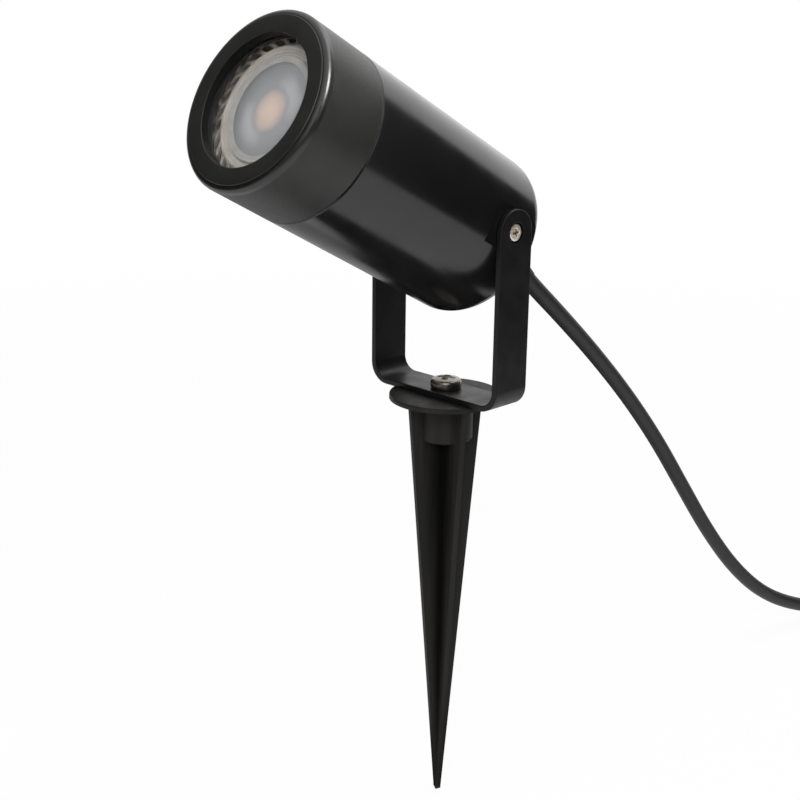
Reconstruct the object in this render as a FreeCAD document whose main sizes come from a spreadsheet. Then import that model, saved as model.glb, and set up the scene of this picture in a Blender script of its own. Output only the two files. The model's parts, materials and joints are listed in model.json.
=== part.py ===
import FreeCAD, Part
import Sketcher
import math
import os
import re

# Garden spike spotlight: a ground spike with a disc flange, a swivelling U-bracket on one screw,
# a lamp head that tilts between the bracket's ears, a screw-on front cap and a rubber lead.
# Millimetres, +Z up. The origin is the tip of the spike, on the spike's axis.
# +X is the tilt axis, and the head aims towards -Y and up.
# Head pieces are drawn about the head's own axis: local Z is the aim, local zero is the pivot.

Vector = FreeCAD.Vector
Placement = FreeCAD.Placement
Rotation = FreeCAD.Rotation
X_AXIS = Vector(1, 0, 0)
Y_AXIS = Vector(0, 1, 0)
Z_AXIS = Vector(0, 0, 1)

# ---------------------------------------------------------------------------------------------
# Driving dimensions, in millimetres and degrees
# ---------------------------------------------------------------------------------------------

SIZES = [
    # spike
    ("spike_length", 165.8),
    ("flange_diameter", 42.0),
    ("flange_thickness", 1.8),
    ("flange_edge_round", 0.5),
    ("rib_reach", 15.1),
    ("rib_tip_reach", 1.0),
    ("rib_thickness", 2.2),
    ("rib_turn", -19.25),
    ("tip_slant", 0.8),
    ("boss_diameter", 20.6),
    ("boss_length", 15.4),
    ("boss_chamfer", 0.7),
    # brass insert and base screw
    ("insert_diameter", 9.0),
    ("insert_length", 12.0),
    ("base_thread_diameter", 6.0),
    ("base_head_diameter", 11.6),
    ("base_head_height", 4.2),
    ("base_screw_length", 14.0),
    ("base_hole_clearance", 0.25),
    # bracket
    ("strap_width", 16.2),
    ("strap_thickness", 2.2),
    ("bend_radius", 5.5),
    ("pivot_height", 63.6),
    ("strap_edge_round", 0.3),
    ("ear_recess_diameter", 7.4),
    ("ear_recess_depth", 1.5),
    # pivot screws
    ("pivot_thread_diameter", 3.5),
    ("pivot_head_diameter", 6.0),
    ("pivot_head_height", 1.3),
    ("pivot_thread_floor", 0.8),
    ("pivot_tip_gap", 0.5),
    ("running_clearance", 0.05),
    # head
    ("head_tilt", 62.2),
    ("head_front", 100.1),
    ("head_seam", 74.4),
    ("head_rear", 15.1),
    ("housing_wall", 2.2),
    ("rear_wall", 4.0),
    ("rear_round", 6.0),
    ("seam_chamfer", 0.4),
    ("seam_gap", 0.1),
    ("flat_depth", 1.0),
    ("flat_clearance", 0.1),
    ("flat_front", 12.0),
    ("pivot_boss_diameter", 9.0),
    ("pivot_boss_inner", 20.5),
    # cap
    ("cap_round", 2.2),
    ("cap_lip", 2.8),
    ("lamp_clearance", 0.7),
    ("spigot_length", 10.0),
    ("spigot_wall", 2.0),
    ("spigot_clearance", 0.1),
    ("o_ring_section", 1.2),
    ("o_ring_play", 0.02),
    ("clip_height", 1.2),
    ("clip_width", 2.8),
    ("clip_groove", 0.5),
    # glass and gasket
    ("glass_thickness", 2.2),
    ("gasket_lip", 0.5),
    ("gasket_back", 1.0),
    ("gasket_wall", 0.8),
    ("gasket_cover", 2.2),
    ("aperture_cover", 0.6),
    ("slip_clearance", 0.1),
    # lamp
    ("lamp_front", 92.4),
    ("lamp_diameter", 50.0),
    ("lamp_length", 49.0),
    ("bezel_margin", 4.0),
    ("bezel_step_diameter", 35.2),
    ("bezel_step", 0.6),
    ("bezel_thickness", 1.6),
    ("bezel_drop", 2.6),
    ("bezel_edge_round", 0.5),
    ("vent_count", 26),
    ("vent_width", 2.9),
    ("vent_depth", 2.5),
    ("lens_diameter", 31.4),
    ("lens_thickness", 2.4),
    ("lens_round", 1.4),
    ("rim_height", 12.0),
    ("lamp_wall", 1.2),
    ("neck_diameter", 30.0),
    ("neck_height", 34.0),
    ("board_diameter", 34.0),
    ("board_thickness", 1.6),
    ("board_depth", 9.0),
    ("chip_diameter", 11.0),
    ("chip_thickness", 1.0),
    ("driver_width", 20.0),
    ("driver_height", 22.0),
    ("driver_thickness", 1.6),
    ("driver_seat", 1.1),
    ("capacitor_diameter", 6.5),
    ("capacitor_length", 11.0),
    ("capacitor_rise", 6.0),
    ("base_diameter", 26.0),
    ("base_plug_length", 5.0),
    ("pin_spacing", 10.0),
    ("pin_neck_diameter", 3.1),
    ("pin_head_diameter", 4.9),
    ("pin_length", 7.2),
    ("pin_head_length", 3.2),
    ("pin_end_round", 0.8),
    # lamp holder and its strap
    ("holder_diameter", 28.0),
    ("holder_height", 14.0),
    ("holder_gap", 0.3),
    ("holder_floor", 4.0),
    ("slot_clearance", 0.35),
    ("slot_depth", 8.0),
    ("lock_turn", 25.0),
    ("contact_length", 7.0),
    ("contact_width", 5.0),
    ("contact_thickness", 0.8),
    ("wire_hole_diameter", 3.0),
    ("holder_strap_width", 6.4),
    ("holder_strap_thickness", 1.2),
    ("holder_strap_end_gap", 1.2),
    ("holder_screw_radius", 9.6),
    ("pillar_diameter", 7.0),
    ("small_thread_diameter", 2.5),
    ("small_head_diameter", 4.6),
    ("small_head_height", 1.5),
    ("small_screw_length", 6.0),
    # terminals and wiring
    ("terminal_top", 20.0),
    ("terminal_length", 14.0),
    ("terminal_width", 22.0),
    ("terminal_depth", 11.0),
    ("clamp_diameter", 5.4),
    ("clamp_bore", 3.0),
    ("terminal_screw_diameter", 2.5),
    ("wire_diameter", 2.2),
    ("conductor_diameter", 1.1),
    ("core_diameter", 2.2),
    ("lug_diameter", 6.4),
    ("lug_thickness", 0.8),
    ("lug_tongue_length", 9.0),
    ("lug_tongue_width", 2.6),
    ("earth_boss_height", 3.0),
    ("earth_boss_offset", 18.0),
    # gland
    ("gland_thread_diameter", 12.0),
    ("gland_hex", 15.0),
    ("gland_washer_thickness", 1.0),
    ("gland_flange_thickness", 4.0),
    ("gland_length", 15.0),
    ("gland_mouth_diameter", 10.4),
    ("gland_seal_length", 7.0),
    ("gland_bore_clearance", 0.1),
    ("locknut_thickness", 3.0),
    # lead
    ("cord_diameter", 6.6),
    ("coil_lower_turns", 1.5),
    ("coil_upper_turns", 1.25),
    ("coil_outer_radius", 38.5),
    ("coil_pitch", 7.3),
    ("coil_lift", 1.0),
    ("coil_layer_gap", 0.6),
    ("tie_width", 3.6),
    ("tie_thickness", 0.8),
    ("tie_room", 0.3),
    ("latch_height", 4.0),
    ("latch_depth", 4.2),
    ("end_core_length", 26.0),
    ("end_ferrule_length", 8.0),
]

# Lengths that follow from the driving dimensions, written once.
DERIVED = {
    "flange_top": "spike_length + flange_thickness",
    "pivot_level": "flange_top + pivot_height",
    "lamp_radius": "lamp_diameter / 2",
    "cap_bore_radius": "lamp_radius + lamp_clearance",
    "spigot_radius": "cap_bore_radius + spigot_wall",
    "bore_radius": "spigot_radius + spigot_clearance",
    "head_radius": "bore_radius + housing_wall",
    "flat_level": "head_radius - flat_depth",
    "strap_inner": "flat_level + flat_clearance",
    "strap_outer": "strap_inner + strap_thickness",
    "rear_floor": "rear_wall - head_rear",
    "cap_shoulder": "head_seam + seam_gap",
    "spigot_end": "cap_shoulder - spigot_length",
    "lip_back": "head_front - cap_lip",
    "glass_front": "lip_back - gasket_lip",
    "glass_back": "glass_front - glass_thickness",
    "gasket_end": "glass_back - gasket_back",
    "gasket_radius": "cap_bore_radius - slip_clearance",
    "glass_radius": "gasket_radius - gasket_wall",
    "gasket_opening": "glass_radius - gasket_cover",
    "aperture_radius": "gasket_opening - aperture_cover",
    "clip_top": "gasket_end - 0.05",
    "clip_base": "clip_top - clip_height",
    "o_ring_level": "cap_shoulder - 1.6",
    "bezel_radius": "lamp_radius - bezel_margin",
    "rim_top": "lamp_front - bezel_drop - bezel_thickness",
    "lamp_end": "lamp_front - lamp_length",
    "neck_top": "lamp_front - neck_height",
    "board_top": "lamp_front - board_depth",
    "holder_top": "lamp_end - holder_gap",
    "holder_base": "holder_top - holder_height",
    "slot_floor": "holder_top - slot_depth",
    "holder_strap_base": "holder_base - holder_strap_thickness",
    "pillar_radius": "pillar_diameter / 2",
    "pillar_place": "bore_radius - pillar_radius + 0.4",
    "terminal_base": "terminal_top - terminal_length",
    "earth_place": "0 - earth_boss_offset / sqrt(2)",
    "pole_place": "pin_spacing / 2 + 0.6",
    "gland_face": "0 - head_rear - gland_washer_thickness",
    "gland_shoulder": "gland_face - gland_flange_thickness",
    "gland_mouth": "0 - head_rear - gland_length",
    "cord_radius": "cord_diameter / 2",
    "cord_bore": "cord_radius + gland_bore_clearance",
    "cord_inner_end": "rear_floor + 6",
}

doc = FreeCAD.newDocument("garden_spike_spotlight")
sheet = doc.addObject("Spreadsheet::Sheet", "sizes")
for row, (name, value) in enumerate(SIZES, start=1):
    sheet.set(f"A{row}", name)
    sheet.set(f"B{row}", str(value))
    sheet.setAlias(f"B{row}", name)
doc.recompute()

SIZE_NAMES = {name for name, value in SIZES}


def ex(text):
    """An expression on the sheet, from one written with the plain names of sizes."""

    def full(match):
        word = match.group(0)
        if word in SIZE_NAMES:
            return f"sizes.{word}"
        if word in DERIVED:
            return f"({ex(DERIVED[word])})"
        return word

    return re.sub(r"[a-z_]+[a-z0-9_]*", full, str(text))


def val(text):
    """The number that such an expression has now."""
    return float(sheet.evalExpression(ex(text)))


# ---------------------------------------------------------------------------------------------
# Drawing helpers
# ---------------------------------------------------------------------------------------------

PARTS = []


def new_body(name):
    return doc.addObject("PartDesign::Body", name)


def origin_plane(body, role):
    return next(item for item in body.Origin.OriginFeatures if item.Role == role)


def pin_point(sketch, geometry, point, place):
    """Ties a sketch point to the origin by two bound distances."""
    for kind, text in zip(("DistanceX", "DistanceY"), place):
        index = sketch.addConstraint(Sketcher.Constraint(kind, -1, 1, geometry, point, val(text)))
        sketch.setExpression(f"Constraints[{index}]", ex(text))


def add_loop(sketch, corners):
    """A closed outline of straight lines through bound corners."""
    first = sketch.GeometryCount
    count = len(corners)
    places = [Vector(val(x), val(y), 0) for x, y in corners]
    for i in range(count):
        sketch.addGeometry(Part.LineSegment(places[i], places[(i + 1) % count]))
    for i in range(count):
        sketch.addConstraint(Sketcher.Constraint("Coincident", first + i, 2, first + (i + 1) % count, 1))
    for i, corner in enumerate(corners):
        pin_point(sketch, first + i, 1, corner)


def add_circle(sketch, place, radius):
    index = sketch.addGeometry(Part.Circle(Vector(val(place[0]), val(place[1]), 0), Z_AXIS, val(radius)))
    pin_point(sketch, index, 3, place)
    bound = sketch.addConstraint(Sketcher.Constraint("Radius", index, val(radius)))
    sketch.setExpression(f"Constraints[{bound}]", ex(radius))


def new_sketch(body, name, role, loops=(), circles=(), lift=None):
    """A sketch on one of the body's own origin planes, raised by lift along its normal."""
    sketch = body.newObject("Sketcher::SketchObject", name)
    sketch.AttachmentSupport = [(origin_plane(body, role), "")]
    sketch.MapMode = "FlatFace"
    if lift is not None:
        sketch.setExpression("AttachmentOffset.Base.z", ex(lift))
    for corners in loops:
        add_loop(sketch, corners)
    for place, radius in circles:
        add_circle(sketch, place, radius)
    doc.recompute()
    return sketch


def turn(body, name, corners, kind="Revolution", circles=()):
    """Adds a profile turned about the body's Z axis, or cuts it with kind Groove."""
    sketch = new_sketch(body, name + "_profile", "XZ_Plane", [corners] if corners else [], circles)
    feature = body.newObject(f"PartDesign::{kind}", name)
    feature.Profile = (sketch, "")
    feature.ReferenceAxis = (sketch, ["V_Axis"])
    feature.Angle = 360
    doc.recompute()


def pad(body, name, sketch, length, both_ways=False, reverse=False):
    feature = body.newObject("PartDesign::Pad", name)
    feature.Profile = (sketch, "")
    feature.setExpression("Length", ex(length))
    feature.SideType = "Symmetric" if both_ways else "One side"
    feature.Reversed = reverse
    doc.recompute()
    return feature


def pocket(body, name, sketch, length=None, both_ways=False, reverse=False):
    feature = body.newObject("PartDesign::Pocket", name)
    feature.Profile = (sketch, "")
    if length is None:
        feature.Type = "ThroughAll"
    else:
        feature.setExpression("Length", ex(length))
    feature.SideType = "Symmetric" if both_ways else "One side"
    feature.Reversed = reverse
    before = body.Shape.Volume
    doc.recompute()
    if body.Shape.Volume >= before:
        raise ValueError(f"{name} in {body.Name} cuts nothing")
    return feature


def around(body, name, feature, sketch, count):
    """Repeats a feature evenly about the normal of its sketch."""
    pattern = body.newObject("PartDesign::PolarPattern", name)
    pattern.Originals = [feature]
    pattern.Axis = (sketch, ["N_Axis"])
    pattern.Angle = 360
    pattern.setExpression("Occurrences", ex(count))
    body.Tip = pattern
    doc.recompute()
    return pattern


def ring_edges(body, radius, level):
    """The names of the round edges of a turned shape, by radius and height."""
    names = []
    for number, edge in enumerate(body.Tip.Shape.Edges, start=1):
        curve = edge.Curve
        if not isinstance(curve, Part.Circle):
            continue
        if abs(curve.Radius - val(radius)) > 1e-4:
            continue
        if abs(curve.Center.z - val(level)) < 1e-4 and abs(abs(curve.Axis.z) - 1) < 1e-6:
            names.append(f"Edge{number}")
    if not names:
        raise ValueError(f"no edge at radius {radius}, level {level} of {body.Name}")
    return names


def ease(body, name, edges, amount, kind="Fillet"):
    """Rounds edges, or bevels them with kind Chamfer."""
    base = body.Tip
    feature = body.newObject(f"PartDesign::{kind}", name)
    feature.Base = (base, edges)
    feature.setExpression("Radius" if kind == "Fillet" else "Size", ex(amount))
    doc.recompute()


def ease_rings(body, name, radius, level, amount, kind="Fillet"):
    ease(body, name, ring_edges(body, radius, level), amount, kind)


def finish(item, frame="ground", turned=None):
    """Puts a piece in its frame (ground, flange or head) and lists it under its name."""
    item.Label = item.Name
    if frame == "flange":
        item.setExpression("Placement.Base.z", ex("flange_top"))
    if frame == "head":
        item.Placement = Placement(Vector(), Rotation(X_AXIS, 10))
        item.setExpression("Placement.Rotation.Angle", ex("head_tilt"))
        item.setExpression("Placement.Base.z", ex("pivot_level"))
    if turned is not None:
        item.Placement = Placement(Vector(), Rotation(Z_AXIS, 10))
        item.setExpression("Placement.Rotation.Angle", ex(turned))
    PARTS.append(item)
    return item


def turned_part(name, corners, frame="head", rounds=(), bevels=()):
    """A piece that is one turned profile, with rounded and bevelled rings."""
    body = new_body(name)
    turn(body, f"{name}_turn", corners)
    for number, (radius, level, amount) in enumerate(rounds):
        ease_rings(body, f"{name}_round_{number}", radius, level, amount)
    for number, (radius, level, amount) in enumerate(bevels):
        ease_rings(body, f"{name}_bevel_{number}", radius, level, amount, "Chamfer")
    return finish(body, frame)


def hexagon(across):
    """The corners of a hexagon by its width across flats."""
    reach = f"({across}) / sqrt(3)"
    return [(f"{reach} * cos({60 * i})", f"{reach} * sin({60 * i})") for i in range(6)]


def primitive(kind, name, sizes, place, rotation=None):
    """A Part primitive whose sizes and place are bound to the sheet."""
    item = doc.addObject(f"Part::{kind}", name)
    item.Placement = Placement(Vector(), rotation or Rotation())
    for field, text in sizes.items():
        item.setExpression(field, ex(text))
    for axis, text in zip("xyz", place):
        item.setExpression(f"Placement.Base.{axis}", ex(text))
    return item


def block(name, size, middle, base):
    """A box of this size, over the middle of its base."""
    length, width, height = size
    place = (f"{middle[0]} - ({length}) / 2", f"{middle[1]} - ({width}) / 2", base)
    return primitive("Box", name, {"Length": length, "Width": width, "Height": height}, place)


def rod(name, radius, length, place, rotation=None):
    return primitive("Cylinder", name, {"Radius": radius, "Height": length}, place, rotation)


def fused(name, pieces):
    item = doc.addObject("Part::MultiFuse", name)
    item.Shapes = pieces
    item.Refine = True
    return item


def cut(name, base, tools):
    item = doc.addObject("Part::Cut", name)
    item.Base = base
    item.Tool = tools[0] if len(tools) == 1 else fused(f"{name}_tools", tools)
    item.Refine = True
    return item


def collected(name, pieces):
    """Separate solids that make one node."""
    item = doc.addObject("Part::Compound", name)
    item.Links = pieces
    return item


def pair(name, source, normal):
    """A piece and its mirror image across the plane with this normal."""
    image = doc.addObject("Part::Mirroring", f"{source.Name}_image")
    image.Source = source
    image.Normal = normal
    return collected(name, [source, image])


def shaped(name, shapes):
    """A node whose shape no bound feature gives, such as a tube along a route."""
    item = doc.addObject("Part::Feature", name)
    item.Shape = shapes[0] if len(shapes) == 1 else Part.makeCompound(shapes)
    return item


def put(item, place, rotation=None):
    """Moves a piece, before it joins others, to a place bound to the sheet."""
    item.Placement = Placement(Vector(), rotation or Rotation())
    for axis, text in zip("xyz", place):
        item.setExpression(f"Placement.Base.{axis}", ex(text))
    return item


def screw_shape(name, head, height, thread, length):
    """A pan-head screw with a cross recess: its seat is at zero and its thread points down."""
    body = new_body(name)
    head_radius = f"({head}) / 2"
    turn(body, f"{name}_turn", [
        ("0", height),
        (head_radius, height),
        (head_radius, "0"),
        (f"({thread}) / 2", "0"),
        (f"({thread}) / 2", f"0 - ({length})"),
        ("0", f"0 - ({length})"),
    ])
    ease_rings(body, f"{name}_dome", head_radius, height, f"({height}) * 0.62")
    arm = f"({head}) * 0.26"
    slot = f"({head}) * 0.065"
    cross = [
        (arm, slot), (slot, slot), (slot, arm), (f"0 - {slot}", arm), (f"0 - {slot}", slot),
        (f"0 - {arm}", slot), (f"0 - {arm}", f"0 - {slot}"), (f"0 - {slot}", f"0 - {slot}"),
        (f"0 - {slot}", f"0 - {arm}"), (slot, f"0 - {arm}"), (slot, f"0 - {slot}"), (arm, f"0 - {slot}"),
    ]
    sketch = new_sketch(body, f"{name}_cross", "XY_Plane", [cross], lift=height)
    pocket(body, f"{name}_recess", sketch, f"({height}) * 0.5")
    return body


# ---------------------------------------------------------------------------------------------
# Spike, insert and base screw
# ---------------------------------------------------------------------------------------------


def make_spike():
    body = new_body("spike")
    boss = "boss_diameter / 2"
    boss_end = "spike_length - boss_length"
    turn(body, "flange_and_boss", [
        ("0", boss_end),
        (boss, boss_end),
        (boss, "spike_length"),
        ("flange_diameter / 2", "spike_length"),
        ("flange_diameter / 2", "flange_top"),
        ("0", "flange_top"),
    ])
    ease_rings(body, "boss_end_bevel", boss, boss_end, "boss_chamfer", "Chamfer")
    ease_rings(body, "flange_round", "flange_diameter / 2", "flange_top", "flange_edge_round")
    blade = [
        ("0 - rib_reach", "spike_length"),
        ("0 - rib_tip_reach", "tip_slant"),
        ("rib_tip_reach", "0"),
        ("rib_reach", "spike_length"),
    ]
    for name, role in (("blade_x", "XZ_Plane"), ("blade_y", "YZ_Plane")):
        pad(body, name, new_sketch(body, f"{name}_outline", role, [blade]), "rib_thickness", both_ways=True)
    hole = new_sketch(body, "insert_hole", "XY_Plane", (), [(("0", "0"), "insert_diameter / 2")],
                      lift="flange_top")
    pocket(body, "insert_bore", hole, "insert_length + 2")
    return finish(body, "ground", turned="rib_turn")


def make_base_fasteners():
    outer = "insert_diameter / 2 - running_clearance"
    inner = "base_thread_diameter / 2 + running_clearance"
    turned_part("spike_insert", [
        (inner, "0 - insert_length"),
        (outer, "0 - insert_length"),
        (outer, "0"),
        (inner, "0"),
    ], frame="flange")
    screw = screw_shape("base_screw", "base_head_diameter", "base_head_height",
                        "base_thread_diameter", "base_screw_length")
    finish(screw)
    screw.Placement = Placement(Vector(), Rotation(Z_AXIS, 31))
    screw.setExpression("Placement.Base.z", ex("flange_top + strap_thickness"))


# ---------------------------------------------------------------------------------------------
# U-bracket
# ---------------------------------------------------------------------------------------------


def make_bracket():
    body = new_body("u_bracket")
    outer = "strap_outer"
    top = "pivot_height + strap_width / 2"
    outline = [
        (f"0 - {outer}", "0"), (outer, "0"), (outer, top), ("strap_inner", top),
        ("strap_inner", "strap_thickness"), ("0 - strap_inner", "strap_thickness"),
        ("0 - strap_inner", top), (f"0 - {outer}", top),
    ]
    pad(body, "strap", new_sketch(body, "strap_outline", "XZ_Plane", [outline]), "strap_width",
        both_ways=True)

    def bends(x, z):
        names = []
        for number, edge in enumerate(body.Tip.Shape.Edges, start=1):
            middle = edge.CenterOfMass
            if abs(abs(middle.x) - val(x)) < 1e-4 and abs(middle.z - val(z)) < 1e-4:
                if abs(edge.Length - val("strap_width")) < 1e-4:
                    names.append(f"Edge{number}")
        return names

    ease(body, "inner_bends", bends("strap_inner", "strap_thickness"), "bend_radius")
    ease(body, "outer_bends", bends(outer, "0"), "bend_radius + strap_thickness")

    # A full round on each ear: everything outside a half disc about the pivot is cut away.
    sketch = new_sketch(body, "ear_outline", "YZ_Plane")
    half = val("strap_width / 2")
    level = val("pivot_height")
    high = level + 2 * half
    outline = [
        Part.LineSegment(Vector(-half, level, 0), Vector(-2 * half, level, 0)),
        Part.LineSegment(Vector(-2 * half, level, 0), Vector(-2 * half, high, 0)),
        Part.LineSegment(Vector(-2 * half, high, 0), Vector(2 * half, high, 0)),
        Part.LineSegment(Vector(2 * half, high, 0), Vector(2 * half, level, 0)),
        Part.LineSegment(Vector(2 * half, level, 0), Vector(half, level, 0)),
        Part.ArcOfCircle(Part.Circle(Vector(0, level, 0), Z_AXIS, half), 0, math.pi),
    ]
    for curve in outline:
        sketch.addGeometry(curve)
    for i in range(4):
        sketch.addConstraint(Sketcher.Constraint("Coincident", i, 2, i + 1, 1))
    sketch.addConstraint(Sketcher.Constraint("Coincident", 4, 2, 5, 1))
    sketch.addConstraint(Sketcher.Constraint("Coincident", 5, 2, 0, 1))
    wide = "strap_width"
    for i, place in enumerate([
        ("0 - strap_width / 2", "pivot_height"),
        (f"0 - {wide}", "pivot_height"),
        (f"0 - {wide}", "pivot_height + strap_width"),
        (wide, "pivot_height + strap_width"),
        (wide, "pivot_height"),
    ]):
        pin_point(sketch, i, 1, place)
    pin_point(sketch, 5, 3, ("0", "pivot_height"))
    start = sketch.addConstraint(Sketcher.Constraint("DistanceY", -1, 1, 5, 1, level))
    sketch.setExpression(f"Constraints[{start}]", ex("pivot_height"))
    doc.recompute()
    pocket(body, "ear_rounds", sketch, both_ways=True)

    # Soft edges all along the strap, on its two long sides and round the ears.
    shape = body.Tip.Shape
    edges = []
    for number, edge in enumerate(shape.Edges, start=1):
        box = edge.BoundBox
        on_side = abs(box.YMax - box.YMin) < 1e-4 and abs(abs(box.YMax) - half) < 1e-4
        on_ear = abs(box.XMax - box.XMin) < 1e-4 and box.ZMin > level - 1e-4 and box.ZMax > level + half - 1e-3
        if (on_side and box.DiagonalLength > 1e-3) or on_ear:
            edges.append(f"Edge{number}")
    ease(body, "soft_edges", edges, "strap_edge_round")

    ear = ("0", "pivot_height")
    hole = new_sketch(body, "pivot_holes", "YZ_Plane", (),
                      [(ear, "pivot_thread_diameter / 2 + running_clearance")])
    pocket(body, "pivot_bores", hole, both_ways=True)
    for name, sign, lift in (("right", True, "strap_outer - ear_recess_depth"),
                             ("left", False, "ear_recess_depth - strap_outer")):
        recess = new_sketch(body, f"{name}_recess", "YZ_Plane", (), [(ear, "ear_recess_diameter / 2")],
                            lift=lift)
        pocket(body, f"{name}_ear_recess", recess, "ear_recess_depth * 2", reverse=sign)
    base = new_sketch(body, "base_hole", "XY_Plane", (),
                      [(("0", "0"), "base_thread_diameter / 2 + base_hole_clearance")])
    pocket(body, "base_bore", base, "strap_thickness * 2", reverse=True)
    return finish(body, "flange")


def make_pivot_screws():
    seat = "strap_outer - ear_recess_depth + running_clearance"
    tip = "pivot_boss_inner + pivot_thread_floor + pivot_tip_gap"
    screw = screw_shape("pivot_screw", "pivot_head_diameter", "pivot_head_height",
                        "pivot_thread_diameter", f"{seat} - ({tip})")
    put(screw, (seat, "0", "0"), Rotation(Y_AXIS, 90))
    finish(pair("pivot_screws", screw, X_AXIS), "head")


# ---------------------------------------------------------------------------------------------
# Head: housing, cap, glass
# ---------------------------------------------------------------------------------------------


def make_housing():
    body = new_body("body_housing")
    hole = "gland_thread_diameter / 2 + running_clearance"
    turn(body, "shell", [
        (hole, "0 - head_rear"),
        ("head_radius", "0 - head_rear"),
        ("head_radius", "head_seam"),
        ("bore_radius", "head_seam"),
        ("bore_radius", "rear_floor"),
        (hole, "rear_floor"),
    ])
    ease_rings(body, "rear_end_round", "head_radius", "0 - head_rear", "rear_round")
    ease_rings(body, "seam_bevel", "head_radius", "head_seam", "seam_chamfer", "Chamfer")

    # Bosses for the pivot screws stand inside the wall, on the tilt axis.
    boss = new_sketch(body, "pivot_boss_outline", "YZ_Plane", (), [(("0", "0"), "pivot_boss_diameter / 2")])
    pad(body, "pivot_bosses", boss, "2 * bore_radius + housing_wall / 2", both_ways=True)
    reach = "pivot_boss_diameter / 2 + 1"
    turn(body, "between_bosses", [
        ("0", f"0 - ({reach})"), ("pivot_boss_inner", f"0 - ({reach})"),
        ("pivot_boss_inner", reach), ("0", reach),
    ], "Groove")

    # Two pillars and a low earth boss rise from the rear wall.
    pillars = new_sketch(body, "pillar_outline", "XY_Plane", (),
                         [(("0", "pillar_place"), "pillar_radius"), (("0", "0 - pillar_place"), "pillar_radius")],
                         lift="rear_floor - 1")
    pad(body, "pillars", pillars, "holder_strap_base - rear_floor + 1")
    earth = ("earth_place", "earth_place")
    boss = new_sketch(body, "earth_boss_outline", "XY_Plane", (), [(earth, "lug_diameter / 2")],
                      lift="rear_floor - 1")
    pad(body, "earth_boss", boss, "earth_boss_height + 1")

    # The wall is milled flat where the bracket's ears bear, from the rear end to just past the pivot.
    low = "0 - head_rear - 1"
    flats = [
        [("flat_level", low), ("head_radius + 1", low), ("head_radius + 1", "flat_front"),
         ("flat_level", "flat_front")],
        [("0 - flat_level", low), ("0 - flat_level", "flat_front"), ("0 - head_radius - 1", "flat_front"),
         ("0 - head_radius - 1", low)],
    ]
    pocket(body, "flats", new_sketch(body, "flat_outline", "XZ_Plane", flats), both_ways=True)

    thread = "pivot_thread_diameter / 2 + running_clearance"
    depth = "pivot_boss_inner + pivot_thread_floor"
    for name, reverse, lift in (("right", True, depth), ("left", False, f"0 - ({depth})")):
        hole_sketch = new_sketch(body, f"{name}_thread", "YZ_Plane", (), [(("0", "0"), thread)], lift=lift)
        pocket(body, f"{name}_pivot_thread", hole_sketch, "head_radius", reverse=reverse)
    small = "small_thread_diameter / 2 + running_clearance"
    holes = new_sketch(body, "pillar_threads", "XY_Plane", (),
                       [(("0", "pillar_place"), small), (("0", "0 - pillar_place"), small)],
                       lift="holder_strap_base")
    pocket(body, "pillar_thread_bores", holes, "small_screw_length + 1")
    earth_hole = new_sketch(body, "earth_thread", "XY_Plane", (), [(earth, small)],
                            lift="rear_floor + earth_boss_height")
    pocket(body, "earth_thread_bore", earth_hole, "small_screw_length - 1")
    return finish(body, "head")


def make_cap():
    groove = "(o_ring_section / 2 + slip_clearance)"
    groove_floor = "spigot_radius - o_ring_section"
    clip_radius = "cap_bore_radius + clip_groove"
    turned_part("front_cap", [
        ("aperture_radius", "head_front"),
        ("head_radius", "head_front"),
        ("head_radius", "cap_shoulder"),
        ("spigot_radius", "cap_shoulder"),
        ("spigot_radius", f"o_ring_level + {groove}"),
        (groove_floor, f"o_ring_level + {groove}"),
        (groove_floor, f"o_ring_level - {groove}"),
        ("spigot_radius", f"o_ring_level - {groove}"),
        ("spigot_radius", "spigot_end"),
        ("cap_bore_radius", "spigot_end"),
        ("cap_bore_radius", "clip_base - 0.05"),
        (clip_radius, "clip_base - 0.05"),
        (clip_radius, "clip_top + 0.05"),
        ("cap_bore_radius", "clip_top + 0.05"),
        ("cap_bore_radius", "lip_back"),
        ("aperture_radius", "lip_back"),
    ], rounds=[("head_radius", "head_front", "cap_round"), ("aperture_radius", "head_front", "0.4")],
       bevels=[("head_radius", "cap_shoulder", "seam_chamfer")])

    body = new_body("cap_o_ring")
    middle = ("spigot_radius - o_ring_section / 2", "o_ring_level")
    turn(body, "o_ring_turn", [], circles=[(middle, "o_ring_section / 2 - o_ring_play")])
    finish(body, "head")

    # A sprung ring with a gap holds the glass and its gasket in the cap.
    body = new_body("lens_clip")
    clip_outer = "cap_bore_radius + clip_groove - 0.05"
    turn(body, "clip_ring", [
        (f"{clip_outer} - clip_width", "clip_base"), (clip_outer, "clip_base"),
        (clip_outer, "clip_top"), (f"{clip_outer} - clip_width", "clip_top"),
    ])
    gap = [("0 - 3", "0"), ("3", "0"), ("3", "0 - head_radius"), ("0 - 3", "0 - head_radius")]
    pocket(body, "clip_gap", new_sketch(body, "clip_gap_outline", "XY_Plane", [gap], lift="clip_top + 1"),
           "clip_height + 2")
    finish(body, "head")


def make_glass():
    turned_part("lens_glass", [
        ("0", "glass_back"), ("glass_radius", "glass_back"),
        ("glass_radius", "glass_front"), ("0", "glass_front"),
    ])
    inside = "glass_radius + slip_clearance / 2"
    opening = "gasket_opening"
    turned_part("lens_gasket", [
        (opening, "lip_back - 0.02"), ("gasket_radius", "lip_back - 0.02"), ("gasket_radius", "gasket_end"),
        (opening, "gasket_end"), (opening, "glass_back - 0.02"), (inside, "glass_back - 0.02"),
        (inside, "glass_front + 0.02"), (opening, "glass_front + 0.02"),
    ])


# ---------------------------------------------------------------------------------------------
# Lamp
# ---------------------------------------------------------------------------------------------


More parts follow.
